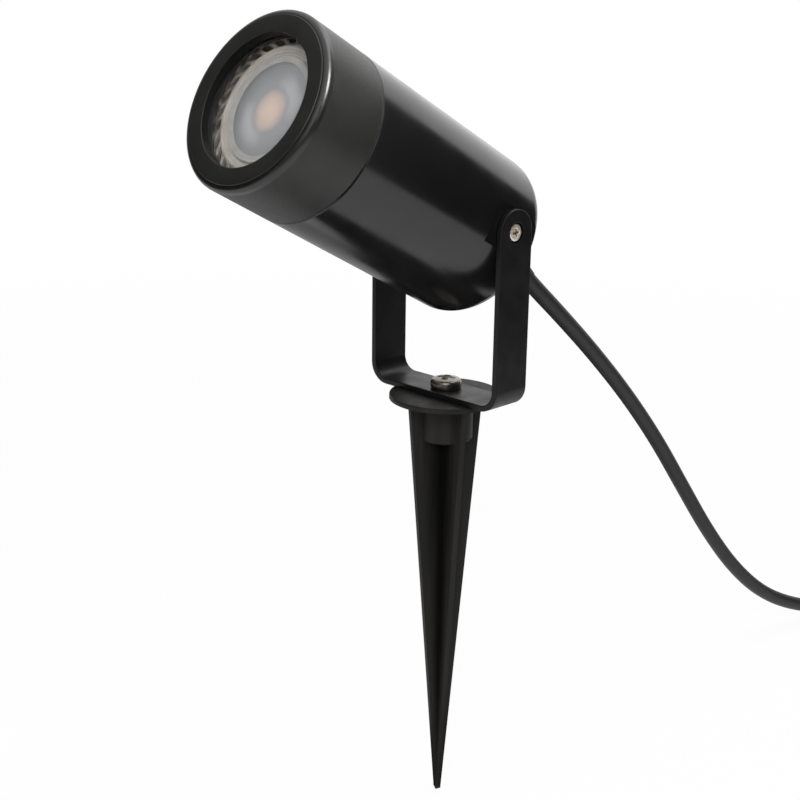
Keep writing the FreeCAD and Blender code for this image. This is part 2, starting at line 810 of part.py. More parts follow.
def make_lamp():
    body = new_body("lamp_bezel")
    seat = "lens_diameter / 2 + slip_clearance"
    rim = "lamp_radius - 0.1"
    turn(body, "bezel_ring", [
        (seat, "lamp_front - bezel_step"),
        ("bezel_step_diameter / 2", "lamp_front - bezel_step"),
        ("bezel_step_diameter / 2", "lamp_front"),
        ("bezel_radius", "lamp_front"),
        (rim, "lamp_front - bezel_drop"),
        (rim, "rim_top"),
        ("bezel_radius", "lamp_front - bezel_thickness"),
        (seat, "lamp_front - bezel_thickness - bezel_step"),
    ])
    ease_rings(body, "bezel_edge", "bezel_radius", "lamp_front", "bezel_edge_round")
    window = [
        ("bezel_radius + 0.3", "0 - vent_width / 2"),
        ("bezel_radius + 0.3 + vent_depth", "0 - vent_width / 2"),
        ("bezel_radius + 0.3 + vent_depth", "vent_width / 2"),
        ("bezel_radius + 0.3", "vent_width / 2"),
    ]
    sketch = new_sketch(body, "vent_outline", "XY_Plane", [window], lift="lamp_front + 1")
    vent = pocket(body, "vent", sketch, "bezel_drop + bezel_thickness + 3")
    around(body, "vents", vent, sketch, "vent_count")
    finish(body, "head")

    turned_part("lamp_lens", [
        ("0", "lamp_front - lens_thickness"),
        ("lens_diameter / 2", "lamp_front - lens_thickness"),
        ("lens_diameter / 2", "lamp_front - 0.1"),
        ("0", "lamp_front - 0.1"),
    ], rounds=[("lens_diameter / 2", "lamp_front - 0.1", "lens_round")])

    shoulder = "rim_top - rim_height"
    neck = "neck_diameter / 2"
    ledge = "board_top - board_thickness"
    board_edge = "board_diameter / 2 + slip_clearance"
    turned_part("lamp_shell", [
        ("lamp_radius", "rim_top - 0.05"),
        ("lamp_radius", shoulder),
        (neck, "neck_top"),
        (neck, "lamp_end + base_plug_length"),
        (f"{neck} - lamp_wall", "lamp_end + base_plug_length"),
        (f"{neck} - lamp_wall", f"{ledge} - 2"),
        ("board_diameter / 2 - 2", f"{ledge} - 2"),
        ("board_diameter / 2 - 2", ledge),
        (board_edge, ledge),
        (board_edge, "board_top + 0.5"),
        ("lamp_radius - lamp_wall", "board_top + 0.5"),
        ("lamp_radius - lamp_wall", "rim_top - 0.05"),
    ])
    turned_part("lamp_board", [
        ("0", ledge), ("board_diameter / 2", ledge), ("board_diameter / 2", "board_top"), ("0", "board_top"),
    ])
    turned_part("lamp_chip", [
        ("0", "board_top"), ("chip_diameter / 2", "board_top"),
        ("chip_diameter / 2", "board_top + chip_thickness"), ("0", "board_top + chip_thickness"),
    ])

    plug = f"{neck} - lamp_wall - slip_clearance"
    body = new_body("lamp_base")
    turn(body, "base_turn", [
        ("0", "lamp_end"),
        ("base_diameter / 2", "lamp_end"),
        ("base_diameter / 2", "lamp_end + base_plug_length - 0.1"),
        (neck, "lamp_end + base_plug_length - 0.1"),
        (neck, "lamp_end + base_plug_length"),
        (plug, "lamp_end + base_plug_length"),
        (plug, "lamp_end + base_plug_length + 3"),
        ("0", "lamp_end + base_plug_length + 3"),
    ])
    half = "driver_width / 2 + slip_clearance"
    slot = [(f"0 - ({half})", "0 - driver_thickness / 2 - slip_clearance"),
            (half, "0 - driver_thickness / 2 - slip_clearance"),
            (half, "driver_thickness / 2 + slip_clearance"),
            (f"0 - ({half})", "driver_thickness / 2 + slip_clearance")]
    sketch = new_sketch(body, "driver_slot", "XY_Plane", [slot], lift="lamp_end + base_plug_length + 3")
    pocket(body, "driver_slot_cut", sketch, "2")
    finish(body, "head")

    foot = "lamp_end + base_plug_length + driver_seat"
    board = block("driver_board", ("driver_width", "driver_thickness", "driver_height"), ("0", "0"), foot)
    capacitor = rod("driver_capacitor", "capacitor_diameter / 2", "capacitor_length",
                    ("0", "driver_thickness / 2 + capacitor_diameter / 2", f"{foot} + capacitor_rise"))
    finish(collected("lamp_driver", [board, capacitor]), "head")

    pin = new_body("lamp_pin")
    turn(pin, "pin_turn", [
        ("0", "0"),
        ("pin_neck_diameter / 2", "0"),
        ("pin_neck_diameter / 2", "pin_head_length - pin_length"),
        ("pin_head_diameter / 2", "pin_head_length - pin_length"),
        ("pin_head_diameter / 2", "0 - pin_length"),
        ("0", "0 - pin_length"),
    ])
    ease_rings(pin, "pin_round", "pin_head_diameter / 2", "0 - pin_length", "pin_end_round")
    put(pin, ("pin_spacing / 2", "0", "lamp_end"))
    finish(pair("lamp_pins", pin, X_AXIS), "head")


# ---------------------------------------------------------------------------------------------
# Lamp holder, its strap and screws
# ---------------------------------------------------------------------------------------------


SIDES = ((1, "right"), (-1, "left"))


def arc_slot(name, side, reach, low, high):
    """The room that one pin needs as the lamp turns to lock, for a pin of this radius."""
    height = f"{high} - ({low})"
    middle = "pin_spacing / 2"
    turned = Rotation(Z_AXIS, 0 if side > 0 else 180)
    sizes = {"Radius": f"{middle} + {reach}", "Height": height, "Angle": "lock_turn"}
    wedge = primitive("Cylinder", f"{name}_wedge", sizes, ("0", "0", low), turned)
    core = rod(f"{name}_core", f"{middle} - ({reach})", height, ("0", "0", low))
    start = rod(f"{name}_start", reach, height, (f"{side} * {middle}", "0", low))
    end = rod(f"{name}_end", reach, height, way_in(side) + (low,))
    return fused(name, [cut(f"{name}_arc", wedge, [core]), start, end])


def way_in(side):
    """Where a pin of the lamp goes in, before the lamp turns."""
    return (f"{side} * pin_spacing / 2 * cos(lock_turn)", f"{side} * pin_spacing / 2 * sin(lock_turn)")


def make_holder():
    neck = "pin_neck_diameter / 2 + slot_clearance"
    head = "pin_head_diameter / 2 + slot_clearance"
    roof = "lamp_end + pin_head_length - pin_length + slot_clearance"
    over = "holder_top + 1"
    under = "slot_floor - contact_thickness"
    blank = rod("holder_blank", "holder_diameter / 2", "holder_height", ("0", "0", "holder_base"))
    room = ("contact_length + 2 * slip_clearance", "contact_width + 2 * slip_clearance", "contact_thickness")
    plate = ("contact_length", "contact_width", "contact_thickness - running_clearance")
    tools = []
    contacts = []
    for side, word in SIDES:
        pole = f"{side} * pole_place"
        tools += [
            arc_slot(f"{word}_head_way", side, head, "slot_floor", roof),
            arc_slot(f"{word}_neck_way", side, neck, "slot_floor", over),
            rod(f"{word}_way_in", head, f"{over} - slot_floor", way_in(side) + ("slot_floor",)),
            block(f"{word}_contact_room", room, (pole, "0"), under),
            rod(f"{word}_wire_way", "wire_hole_diameter / 2", f"{under} - holder_base + 1",
                (pole, "0", "holder_base - 1")),
            rod(f"{word}_screw_hole", "small_thread_diameter / 2 + slip_clearance", "holder_floor + 2",
                ("0", f"{side} * holder_screw_radius", "holder_base - 1")),
            rod(f"{word}_screw_sink", "small_head_diameter / 2 + slip_clearance", "holder_height",
                ("0", f"{side} * holder_screw_radius", "holder_base + holder_floor")),
        ]
        contacts.append(block(f"{word}_contact", plate, (pole, "0"), under))
    finish(cut("lamp_holder", blank, tools), "head")
    finish(collected("holder_contacts", contacts), "head")


def make_holder_strap():
    strap = new_body("holder_strap")
    half = "pillar_place + pillar_radius - holder_strap_end_gap"
    side = "holder_strap_width / 2"
    outline = [(f"0 - {side}", f"0 - ({half})"), (side, f"0 - ({half})"), (side, half), (f"0 - {side}", half)]
    clear = "small_thread_diameter / 2 + slip_clearance"
    snug = "small_thread_diameter / 2 + running_clearance"
    plate = new_sketch(strap, "holder_strap_outline", "XY_Plane", [outline], [
        (("0", "pillar_place"), clear), (("0", "0 - pillar_place"), clear),
        (("0", "holder_screw_radius"), snug), (("0", "0 - holder_screw_radius"), snug),
    ], lift="holder_strap_base")
    pad(strap, "holder_strap_plate", plate, "holder_strap_thickness")
    finish(strap, "head")


def small_screw(name, length):
    return screw_shape(name, "small_head_diameter", "small_head_height", "small_thread_diameter", length)


def make_small_screws():
    holder = small_screw("holder_screw", "small_screw_length")
    put(holder, ("0", "holder_screw_radius", "holder_base + holder_floor"))
    finish(pair("holder_screws", holder, Y_AXIS), "head")
    strap = small_screw("strap_screw", "small_screw_length")
    put(strap, ("0", "pillar_place", "holder_strap_base + holder_strap_thickness"))
    finish(pair("strap_screws", strap, Y_AXIS), "head")
    earth = small_screw("earth_screw_body", "small_screw_length - 2")
    put(earth, ("earth_place", "earth_place", "rear_floor + earth_boss_height + lug_thickness"))
    finish(collected("earth_screw", [earth]), "head")


# ---------------------------------------------------------------------------------------------
# Terminals and the wiring inside the head
# ---------------------------------------------------------------------------------------------


def path_wire(points):
    """Straight runs joined by tangent arcs. An arc's radius is 0.45 of its shorter run, over the
    tangent of half the turn. Returns the wire and the arcs' radii."""
    edges = []
    radii = []
    last = points[0]
    for i in range(1, len(points) - 1):
        here = points[i]
        back = points[i - 1] - here
        ahead = points[i + 1] - here
        reach = 0.45 * min(back.Length, ahead.Length)
        half_turn = (math.pi - back.getAngle(ahead)) / 2
        radius = reach / math.tan(half_turn)
        start = here + back.normalize() * reach
        end = here + ahead.normalize() * reach
        inward = (back + ahead).normalize()
        middle = here + inward * (radius / math.cos(half_turn) - radius)
        edges.append(Part.LineSegment(last, start).toShape())
        edges.append(Part.Arc(start, middle, end).toShape())
        radii.append(radius)
        last = end
    edges.append(Part.LineSegment(last, points[-1]).toShape())
    return Part.Wire(edges), radii


def sweep_wire(wire, radius):
    """A solid round tube along a wire."""
    start = wire.Edges[0]
    direction = start.tangentAt(start.FirstParameter)
    place = start.valueAt(start.FirstParameter)
    ring = Part.Wire(Part.Circle(place, direction, radius).toShape())
    return wire.makePipeShell([ring], True, False)


def make_terminals():
    half = "terminal_depth / 2"
    tip = "conductor_diameter / 2 + running_clearance"
    shank = "terminal_screw_diameter / 2"
    length = f"{half} - 0.5 - ({tip})"
    into = Rotation(X_AXIS, -90)
    body = block("terminal_body", ("terminal_width", "terminal_depth", "terminal_length"), ("0", "0"),
                 "terminal_base")
    cuts = []
    clamps = []
    screws = []
    for side, word in SIDES:
        pole = f"{side} * pole_place"
        ways = []
        for number, share in enumerate((0.25, 0.75), start=1):
            level = f"terminal_base + terminal_length * {share}"
            ways.append(rod(f"{word}_screw_way_{number}", f"{shank} + running_clearance", f"{half} + 1",
                            (pole, f"0 - {half} - 1", level), into))
            screws.append(rod(f"{word}_screw_{number}", shank, length,
                              (pole, f"0 - ({tip}) - ({length})", level), into))
        below = (pole, "0", "terminal_base - 1")
        through = "terminal_length + 2"
        seat = rod(f"{word}_clamp_seat", "clamp_diameter / 2 + running_clearance", through, below)
        bore = rod(f"{word}_clamp_bore", "clamp_bore / 2", through, below)
        tube = rod(f"{word}_clamp_tube", "clamp_diameter / 2", "terminal_length - 1",
                   (pole, "0", "terminal_base + 0.5"))
        cuts += [seat] + ways
        clamps.append(cut(f"{word}_clamp", tube, [bore] + ways))
    finish(cut("terminal_block", body, cuts), "head")
    finish(collected("terminal_clamps", clamps), "head")
    finish(collected("terminal_screws", screws), "head")


def make_wires():
    """Insulated wires run straight down from the holder's contacts into the clamps."""
    top = "slot_floor - contact_thickness"
    bare = "terminal_base + terminal_length * 0.6"
    for name, side in (("live_wire", 1), ("neutral_wire", -1)):
        pole = f"{side} * pole_place"
        conductor = rod(f"{name}_conductor", "conductor_diameter / 2", f"{top} - ({bare})", (pole, "0", bare))
        sleeve = rod(f"{name}_sleeve", "wire_diameter / 2", f"{top} - terminal_top",
                     (pole, "0", "terminal_top - 1"))
        finish(fused(name, [conductor, sleeve]), "head")


def make_cores():
    """The lead's three cores, from the end of its sheath to the clamps and the earth lug."""
    radius = val("core_diameter / 2")
    low = val("cord_inner_end")
    base = val("terminal_base")
    pole = val("pole_place")
    spread = val("core_diameter / sqrt(3)") + 0.08
    for name, side in (("core_live", 1), ("core_neutral", -1)):
        x = side * spread * math.cos(math.radians(30))
        y = spread / 2
        points = [
            Vector(x, y, low),
            Vector(x, y, low + 2.5),
            Vector(side * pole, 0, base - 2.5),
            Vector(side * pole, 0, base + 1),
        ]
        bare = Part.makeCylinder(val("conductor_diameter / 2"), val("terminal_length * 0.4"),
                                 Vector(side * pole, 0, base + 1))
        core = sweep_wire(path_wire(points)[0], radius).fuse(bare).removeSplitter()
        finish(collected(name, [shaped(f"{name}_shape", [core])]), "head")
    place = val("earth_place")
    crimp = Vector(place + 4.6, place + 4.6, val("rear_floor + earth_boss_height + lug_thickness") + radius)
    points = [
        Vector(0, -spread, low),
        Vector(0, -spread, low + 2.5),
        Vector(-2.0, -spread - 2.0, low + 4.0),
        Vector(-4.4, -spread - 4.4, low + 2.6),
        crimp,
    ]
    core = sweep_wire(path_wire(points)[0], radius)
    finish(collected("core_earth", [shaped("core_earth_shape", [core])]), "head")


def make_earth_lug():
    eye = rod("lug_eye", "lug_diameter / 2", "lug_thickness", ("0", "0", "0"))
    tongue = block("lug_tongue", ("lug_tongue_length", "lug_tongue_width", "lug_thickness"),
                   ("lug_tongue_length / 2", "0"), "0")
    hole = rod("lug_hole", "small_thread_diameter / 2 + slip_clearance", "lug_thickness + 2", ("0", "0", "0 - 1"))
    lug = cut("lug_plate", fused("lug_blank", [eye, tongue]), [hole])
    put(lug, ("earth_place", "earth_place", "rear_floor + earth_boss_height"), Rotation(Z_AXIS, 45))
    finish(collected("earth_lug", [lug]), "head")


# ---------------------------------------------------------------------------------------------
# Cable gland
# ---------------------------------------------------------------------------------------------


def make_gland():
    thread = "gland_thread_diameter / 2"
    turned_part("gland_washer", [
        (f"{thread} + slip_clearance", "gland_face"), ("gland_hex / 2", "gland_face"),
        ("gland_hex / 2", "0 - head_rear"), (f"{thread} + slip_clearance", "0 - head_rear"),
    ])

    body = new_body("gland_body")
    sketch = new_sketch(body, "gland_hex_outline", "XY_Plane", [hexagon("gland_hex")], lift="gland_shoulder")
    pad(body, "gland_flange", sketch, "gland_flange_thickness")
    neck = f"{thread} - 0.8"
    seat = "gland_shoulder - gland_seal_length"
    turn(body, "gland_thread", [
        ("0", "gland_shoulder"), (thread, "gland_shoulder"), (thread, "rear_floor + locknut_thickness + 0.5"),
        ("0", "rear_floor + locknut_thickness + 0.5"),
    ])
    turn(body, "gland_claws", [
        ("0", seat), (neck, seat), (neck, "gland_shoulder + 1"), ("0", "gland_shoulder + 1"),
    ])
    turn(body, "gland_bore", [
        ("0", f"{seat} - 1"), ("cord_bore + 1.1", f"{seat} - 1"), ("cord_bore + 1.1", "gland_shoulder + 1"),
        ("cord_bore", "gland_shoulder + 1"), ("cord_bore", "rear_floor + locknut_thickness + 2"),
        ("0", "rear_floor + locknut_thickness + 2"),
    ], "Groove")
    finish(body, "head")

    turned_part("gland_seal", [
        ("cord_radius + 0.05", f"{seat} + 0.5"), ("cord_bore + 1.05", f"{seat} + 0.5"),
        ("cord_bore + 1.05", "gland_shoulder + 0.8"), ("cord_radius + 0.05", "gland_shoulder + 0.8"),
    ])

    nut = new_body("gland_nut")
    sketch = new_sketch(nut, "gland_nut_outline", "XY_Plane", [hexagon("gland_hex")], lift="gland_mouth")
    pad(nut, "gland_nut_hex", sketch, "gland_shoulder - gland_mouth - 0.3")
    corner = "gland_hex / sqrt(3) + 1"
    dome_start = "gland_mouth + 7"
    mouth = "gland_mouth_diameter / 2"
    turn(nut, "gland_dome", [
        (corner, f"{dome_start} + 2.2"), ("gland_hex / 2 + 0.1", dome_start), (mouth, "gland_mouth"),
        (mouth, "gland_mouth - 1"), (corner, "gland_mouth - 1"),
    ], "Groove")
    turn(nut, "gland_nut_bore", [
        ("0", "gland_mouth - 1"), ("cord_bore", "gland_mouth - 1"), ("cord_bore", "gland_mouth + 2.2"),
        (f"{neck} + 0.1", f"{seat} - 0.6"), (f"{neck} + 0.1", "gland_shoulder + 1"),
        ("0", "gland_shoulder + 1"),
    ], "Groove")
    finish(nut, "head")

    locknut = new_body("gland_locknut")
    sketch = new_sketch(locknut, "locknut_outline", "XY_Plane", [hexagon("gland_hex")],
                        [(("0", "0"), f"{thread} + running_clearance")], lift="rear_floor")
    pad(locknut, "locknut_hex", sketch, "locknut_thickness")
    finish(locknut, "head")

    turned_part("cord_tail", [
        ("0", "gland_mouth"), ("cord_radius", "gland_mouth"), ("cord_radius", "cord_inner_end"),
        ("0", "cord_inner_end"),
    ])


# ---------------------------------------------------------------------------------------------
# The free lead: one stretch from the gland to the ground, then a tied coil
# ---------------------------------------------------------------------------------------------

# Points that the lead passes by, from the bend below the gland to the start of the coil.
LEAD_ROUTE = [
    (0.0, 47.4, 201.8),
    (0.0, 66.3, 186.7),
    (0.0, 90.5, 166.4),
    (0.6, 115.5, 143.0),
    (2.4, 138.0, 118.0),
    (5.4, 157.5, 91.5),
    (9.6, 175.5, 65.5),
    (14.6, 194.5, 42.0),
    (20.4, 215.0, 23.5),
    (27.4, 238.0, 11.6),
    (34.6, 261.0, 5.8),
    (45.5, 297.0, 4.3),
]
LEAD_STRAIGHT = 9.0  # the lead leaves its gland straight for this length
LEAD_LAST_RUN = 24.0  # and joins the coil straight for this one

# Where the coil lies on the ground: its middle, and the heading from there to the lead's entry.
COIL_MIDDLE = (14.0, 363.0, 0.0)
COIL_HEADING = 0.0


def coil_places():
    """Places and directions at each quarter turn: in on the lower layer, up, and out on the upper."""
    outer = val("coil_outer_radius")
    pitch = val("coil_pitch")
    lower = val("coil_lower_turns")
    radius = val("cord_radius")
    low = val("coil_lift") + radius
    high = low + 2 * radius + val("coil_layer_gap")
    quarters = round(lower * 4)
    inner = outer - pitch * lower
    slope = pitch / (2 * math.pi)
    layout = []
    for i in range(quarters + 1):
        layout.append((i, outer - pitch * i / 4, low, -slope))
    for i in range(round(val("coil_upper_turns") * 4) + 1):
        layout.append((quarters + 2 + i, inner + pitch * i / 4, high, slope))
    return layout


def biarc(start, start_way, end, end_way):
    """Two tangent arcs between two places with given directions."""
    chord = end - start
    square = 2 * (1 - start_way.dot(end_way))
    linear = 2 * chord.dot(start_way + end_way)
    constant = -chord.dot(chord)
    if square < 1e-9:
        reach = -constant / linear
    else:
        reach = (-linear + math.sqrt(linear * linear - 4 * square * constant)) / (2 * square)
    first = start + start_way * reach
    second = end - end_way * reach
    joint = (first + second) * 0.5
    return [arc_by_corner(start, first, joint), arc_by_corner(joint, second, end)]


def arc_by_corner(start, corner, end):
    """The arc from start to end whose end tangents meet at corner."""
    chord_middle = (start + end) * 0.5
    rise = corner - chord_middle
    if rise.Length < 1e-7:
        return Part.LineSegment(start, end).toShape()
    half_turn = math.atan2(rise.Length, (end - start).Length / 2)
    share = math.tan(half_turn / 2) / math.tan(half_turn)
    return Part.Arc(start, chord_middle + rise * share, end).toShape()


def make_lead():
    radius = val("cord_radius")
    tilt = math.radians(val("head_tilt"))
    aim = Vector(0, -math.sin(tilt), math.cos(tilt))
    pivot = Vector(0, 0, val("pivot_level"))
    mouth = pivot + aim * val("gland_mouth")
    middle = Vector(*COIL_MIDDLE)
    heading = math.radians(COIL_HEADING)

    places = []
    for quarter, reach, level, slope in coil_places():
        angle = heading + quarter * math.pi / 2
        outward = Vector(math.cos(angle), math.sin(angle), 0)
        onward = Vector(-math.sin(angle), math.cos(angle), 0)
        way = (onward * reach + outward * slope).normalize()
        places.append((middle + outward * reach + Vector(0, 0, level), way))
    start, start_way = places[0]
    lead_in = start - start_way * (2 * radius)
    edges = [Part.LineSegment(lead_in, start).toShape()]
    for (place, way), (next_place, next_way) in zip(places, places[1:]):
        edges += biarc(place, way, next_place, next_way)
    end, end_way = places[-1]
    last = end + end_way * (2 * radius)
    edges.append(Part.LineSegment(end, last).toShape())
    coil_wire = Part.Wire(edges)
    coil = sweep_wire(coil_wire, radius)
    finish(shaped("cord_coil", [coil]))

    points = [mouth, mouth - aim * LEAD_STRAIGHT]
    points += [Vector(*place) for place in LEAD_ROUTE]
    points += [lead_in - start_way * LEAD_LAST_RUN, lead_in]
    lead_wire, radii = path_wire(points)
    lead = sweep_wire(lead_wire, radius)
    finish(shaped("cord_lead", [lead]))

    area = math.pi * radius * radius
    print("lead radii", [round(r, 1) for r in radii])
    print("lead runs", [round((b - a).Length, 1) for a, b in zip(points, points[1:])])
    for name, wire, tube in (("lead", lead_wire, lead), ("coil", coil_wire, coil)):
        ratio = tube.Volume / (area * wire.Length)
        print(f"{name} length {wire.Length:.1f}, volume over section times length {ratio:.4f}")
    print("least gap of the coil to itself", round(self_gap(coil_wire, radius), 2))

    make_tie(middle, heading)
    make_ends(last, end_way)


def self_gap(wire, radius):
    """The least clear distance between stretches of a wound tube, on sampled points."""
    points = wire.discretize(Number=600)
    apart = 3 * 2 * radius
    step = wire.Length / 599
    skip = int(apart / step)
    least = min(
        (points[i] - points[j]).Length for i in range(len(points)) for j in range(i + skip, len(points))
    )
    return least - 2 * radius


def make_tie(middle, heading):
    """A flat tie round the bundle of turns, a quarter turn on from the lead's entry."""
    far = "coil_outer_radius - coil_pitch / 4 + cord_radius + tie_room"
    near = "coil_outer_radius - coil_pitch * (coil_lower_turns - 1 / 4) - cord_radius - tie_room"
    inside = "coil_lift + 4 * cord_radius + coil_layer_gap + tie_room"
    width = "tie_width"
    across = f"(({far}) + ({near})) / 2"
    span = f"{far} - ({near})"
    solid = block("tie_blank", (f"{span} + 2 * tie_thickness", width, f"{inside} + tie_thickness"),
                  (across, "0"), "0")
    hole = block("tie_hole", (span, f"{width} + 2", f"{inside} - tie_thickness"), (across, "0"), "tie_thickness")
    latch = block("tie_latch", ("latch_depth", f"{width} + 1.4", "latch_height"),
                  (f"{near} - tie_thickness / 2 - latch_depth / 2", "0"), f"{inside} - latch_height - 2")
    tie = fused("cord_tie", [cut("tie_loop", solid, [hole]), latch])
    tie.Placement = Placement(middle, Rotation(Z_AXIS, math.degrees(heading) + 90))
    finish(tie)


def make_ends(end, way):
    """The three cores at the lead's far end, each bared into a ferrule."""
    radius = val("core_diameter / 2")
    across = Vector(-way.y, way.x, 0)
    bundle = val("core_diameter / sqrt(3)") + 0.08
    ferrules = []
    for name, angle, lean, droop in (("end_live", 90, 0.03, 0.12), ("end_neutral", 210, 0.16, 0.2),
                                     ("end_earth", 330, -0.18, 0.2)):
        turn_angle = math.radians(angle)
        start = end - across * (bundle * math.cos(turn_angle)) + Z_AXIS * (bundle * math.sin(turn_angle))
        ahead = (way + across * lean - Z_AXIS * droop).normalize()
        bend = start + way * val("end_core_length / 3")
        tip = bend + ahead * val("end_core_length * 2 / 3")
        finish(shaped(name, [sweep_wire(path_wire([start, bend, tip])[0], radius)]))
        ferrules.append(Part.makeCylinder(val("conductor_diameter / 2 + 0.2"), val("end_ferrule_length"),
                                          tip, ahead))
    finish(shaped("end_ferrules", ferrules))


# ---------------------------------------------------------------------------------------------
# Build, check and write
# ---------------------------------------------------------------------------------------------

make_spike()
make_base_fasteners()
make_bracket()
make_pivot_screws()
make_housing()
make_cap()
make_glass()
make_lamp()
make_holder()
make_holder_strap()
make_small_screws()
make_terminals()
make_wires()
make_cores()
make_earth_lug()
make_gland()
make_lead()
doc.recompute()

for item in doc.Objects:
    if "Invalid" in item.State or "Error" in item.State:
        raise ValueError(f"{item.Name} failed: {item.State}")

os.makedirs("parts", exist_ok=True)
for item in PARTS:
    if item.Shape.isNull() or not item.Shape.isValid():
        raise ValueError(f"{item.Label} has no valid shape")
    item.Shape.exportStep(f"parts/{item.Label}.step")
    print(item.Label, len(item.Shape.Solids), round(item.Shape.Volume, 1))
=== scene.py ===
"""Garden spike spotlight: its stage, finishes and detailed pieces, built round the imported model."""

import json
import math

import bmesh
import bpy
from bpy.props import FloatProperty, FloatVectorProperty, IntProperty, PointerProperty
from mathutils import Matrix, Vector


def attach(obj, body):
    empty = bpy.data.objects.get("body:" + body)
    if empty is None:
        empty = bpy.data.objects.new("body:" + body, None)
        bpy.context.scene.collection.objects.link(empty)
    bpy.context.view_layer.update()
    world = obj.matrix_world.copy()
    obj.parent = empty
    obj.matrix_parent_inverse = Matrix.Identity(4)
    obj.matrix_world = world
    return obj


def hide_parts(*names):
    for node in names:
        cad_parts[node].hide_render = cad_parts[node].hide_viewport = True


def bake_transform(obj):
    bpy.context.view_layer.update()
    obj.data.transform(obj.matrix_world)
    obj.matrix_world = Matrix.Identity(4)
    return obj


bl_info = {
    "name": "Garden Spike Spotlight",
    "version": (1, 0, 0),
    "blender": (4, 5, 0),
    "location": "3D View > Sidebar > Spotlight",
    "description": "Builds and finishes a garden spike spotlight: head, cap, lamp, bracket, spike and lead",
    "category": "Add Mesh",
}

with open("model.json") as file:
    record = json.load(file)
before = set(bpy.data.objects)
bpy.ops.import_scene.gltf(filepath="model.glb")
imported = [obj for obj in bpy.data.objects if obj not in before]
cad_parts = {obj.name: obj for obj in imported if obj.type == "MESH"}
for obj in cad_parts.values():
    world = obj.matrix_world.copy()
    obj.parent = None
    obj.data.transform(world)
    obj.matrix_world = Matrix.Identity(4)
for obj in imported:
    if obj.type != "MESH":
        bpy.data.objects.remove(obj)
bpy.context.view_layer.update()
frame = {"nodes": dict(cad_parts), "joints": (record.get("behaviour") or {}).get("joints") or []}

MM = 0.001
JOINTS = {joint["name"]: joint for joint in frame["joints"]}
PIVOT = Vector(JOINTS["tilt"]["pos_m"])
AIM = Vector(JOINTS["cap_slide"]["axis"]).normalized()
Z = Vector((0, 0, 1))
# From the head's own axes, with their origin at the pivot and Z along the beam, to the scene's.
HEAD = Matrix.Translation(PIVOT) @ Z.rotation_difference(AIM).to_matrix().to_4x4()

# Heights along the head, from the pivot, of the cap's front, its seam and the lamp's front, in millimetres.
CAP_FRONT, CAP_SEAM, LAMP_FRONT = 100.1, 74.4, 92.4
# Seats of the right pivot screw (across) and of the base screw (up), in metres.
BRACKET_SEAT = Vector((0.02985, 0, 0.1698))


# ---- Mesh helpers ----


def rounded(corners, steps=6):
    """A closed outline from (x, y, radius) corners, each corner with a radius turned into an arc."""
    outline = []
    count = len(corners)
    for i, (x, y, radius) in enumerate(corners):
        here = Vector((x, y))
        if radius <= 0:
            outline.append((x, y))
            continue
        back = Vector(corners[i - 1][:2]) - here
        ahead = Vector(corners[(i + 1) % count][:2]) - here
        half = back.angle(ahead) / 2
        reach = radius / math.tan(half)
        centre = here + (back.normalized() + ahead.normalized()).normalized() * (radius / math.sin(half))
        start = here + back.normalized() * reach - centre
        end = here + ahead.normalized() * reach - centre
        sweep = start.angle_signed(end)
        for k in range(steps + 1):
            angle = -sweep * k / steps
            turned = Vector((
                start.x * math.cos(angle) - start.y * math.sin(angle),
                start.x * math.sin(angle) + start.y * math.cos(angle),
            ))
            outline.append((centre.x + turned.x, centre.y + turned.y))
    return outline


def bands(rings):
    """Four-sided faces between each closed ring of vertex indices and the next."""
    for ring, other in zip(rings, rings[1:]):
        for k, n in zip(range(len(ring)), [*range(1, len(ring)), 0]):
            yield ring[k], ring[n], other[n], other[k]


def mesh_piece(name, verts, faces, body, finish, crease=0.6, place=None):
    """A smooth-shaded piece in metres, with sharp edges above the crease angle; a body carries it."""
    mesh = bpy.data.meshes.new(name)
    mesh.from_pydata([tuple(v) for v in verts], [], faces)
    mesh.validate()
    if place is not None:
        mesh.transform(place)
    work = bmesh.new()
    work.from_mesh(mesh)
    bmesh.ops.recalc_face_normals(work, faces=work.faces)
    for face in work.faces:
        face.smooth = True
    for edge in work.edges:
        edge.smooth = len(edge.link_faces) == 2 and edge.calc_face_angle(0) < crease
    work.to_mesh(mesh)
    work.free()
    piece = bpy.data.objects.new(name, mesh)
    bpy.context.scene.collection.objects.link(piece)
    mesh.materials.append(finish)
    if body is not None:
        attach(piece, body)
    return piece


def lathe(name, outline, body, finish, steps=144):
    """A closed (radius, height) outline in millimetres, turned about the head's axis."""
    verts = []
    rings = []
    for radius, height in outline:
        if radius < 1e-6:
            rings.append([len(verts)] * steps)
            verts.append((0, 0, height * MM))
            continue
        rings.append(list(range(len(verts), len(verts) + steps)))
        for k in range(steps):
            angle = 2 * math.pi * k / steps
            verts.append((radius * MM * math.cos(angle), radius * MM * math.sin(angle), height * MM))
    whole = [list(dict.fromkeys(corners)) for corners in bands(rings + rings[:1])]
    faces = [corners for corners in whole if len(corners) > 2]
    return mesh_piece(name, verts, faces, body, finish, place=HEAD)


def tube_mesh(points, radius, sides, closed_ends=True):
    """Vertices and faces of a round tube along points, without twist."""
    verts = []
    onward = (points[1] - points[0]).normalized()
    across = onward.orthogonal().normalized()
    for i, point in enumerate(points):
        ahead = points[min(i + 1, len(points) - 1)] - points[max(i - 1, 0)]
        turn = onward.rotation_difference(ahead.normalized())
        across = turn @ across
        onward = ahead.normalized()
        other = onward.cross(across)
        for k in range(sides):
            angle = 2 * math.pi * k / sides
            verts.append(point + (across * math.cos(angle) + other * math.sin(angle)) * radius)
    rings = [range(i * sides, (i + 1) * sides) for i in range(len(points))]
    faces = list(bands(rings))
    if closed_ends:
        faces += [tuple(reversed(rings[0])), tuple(rings[-1])]
    return verts, faces


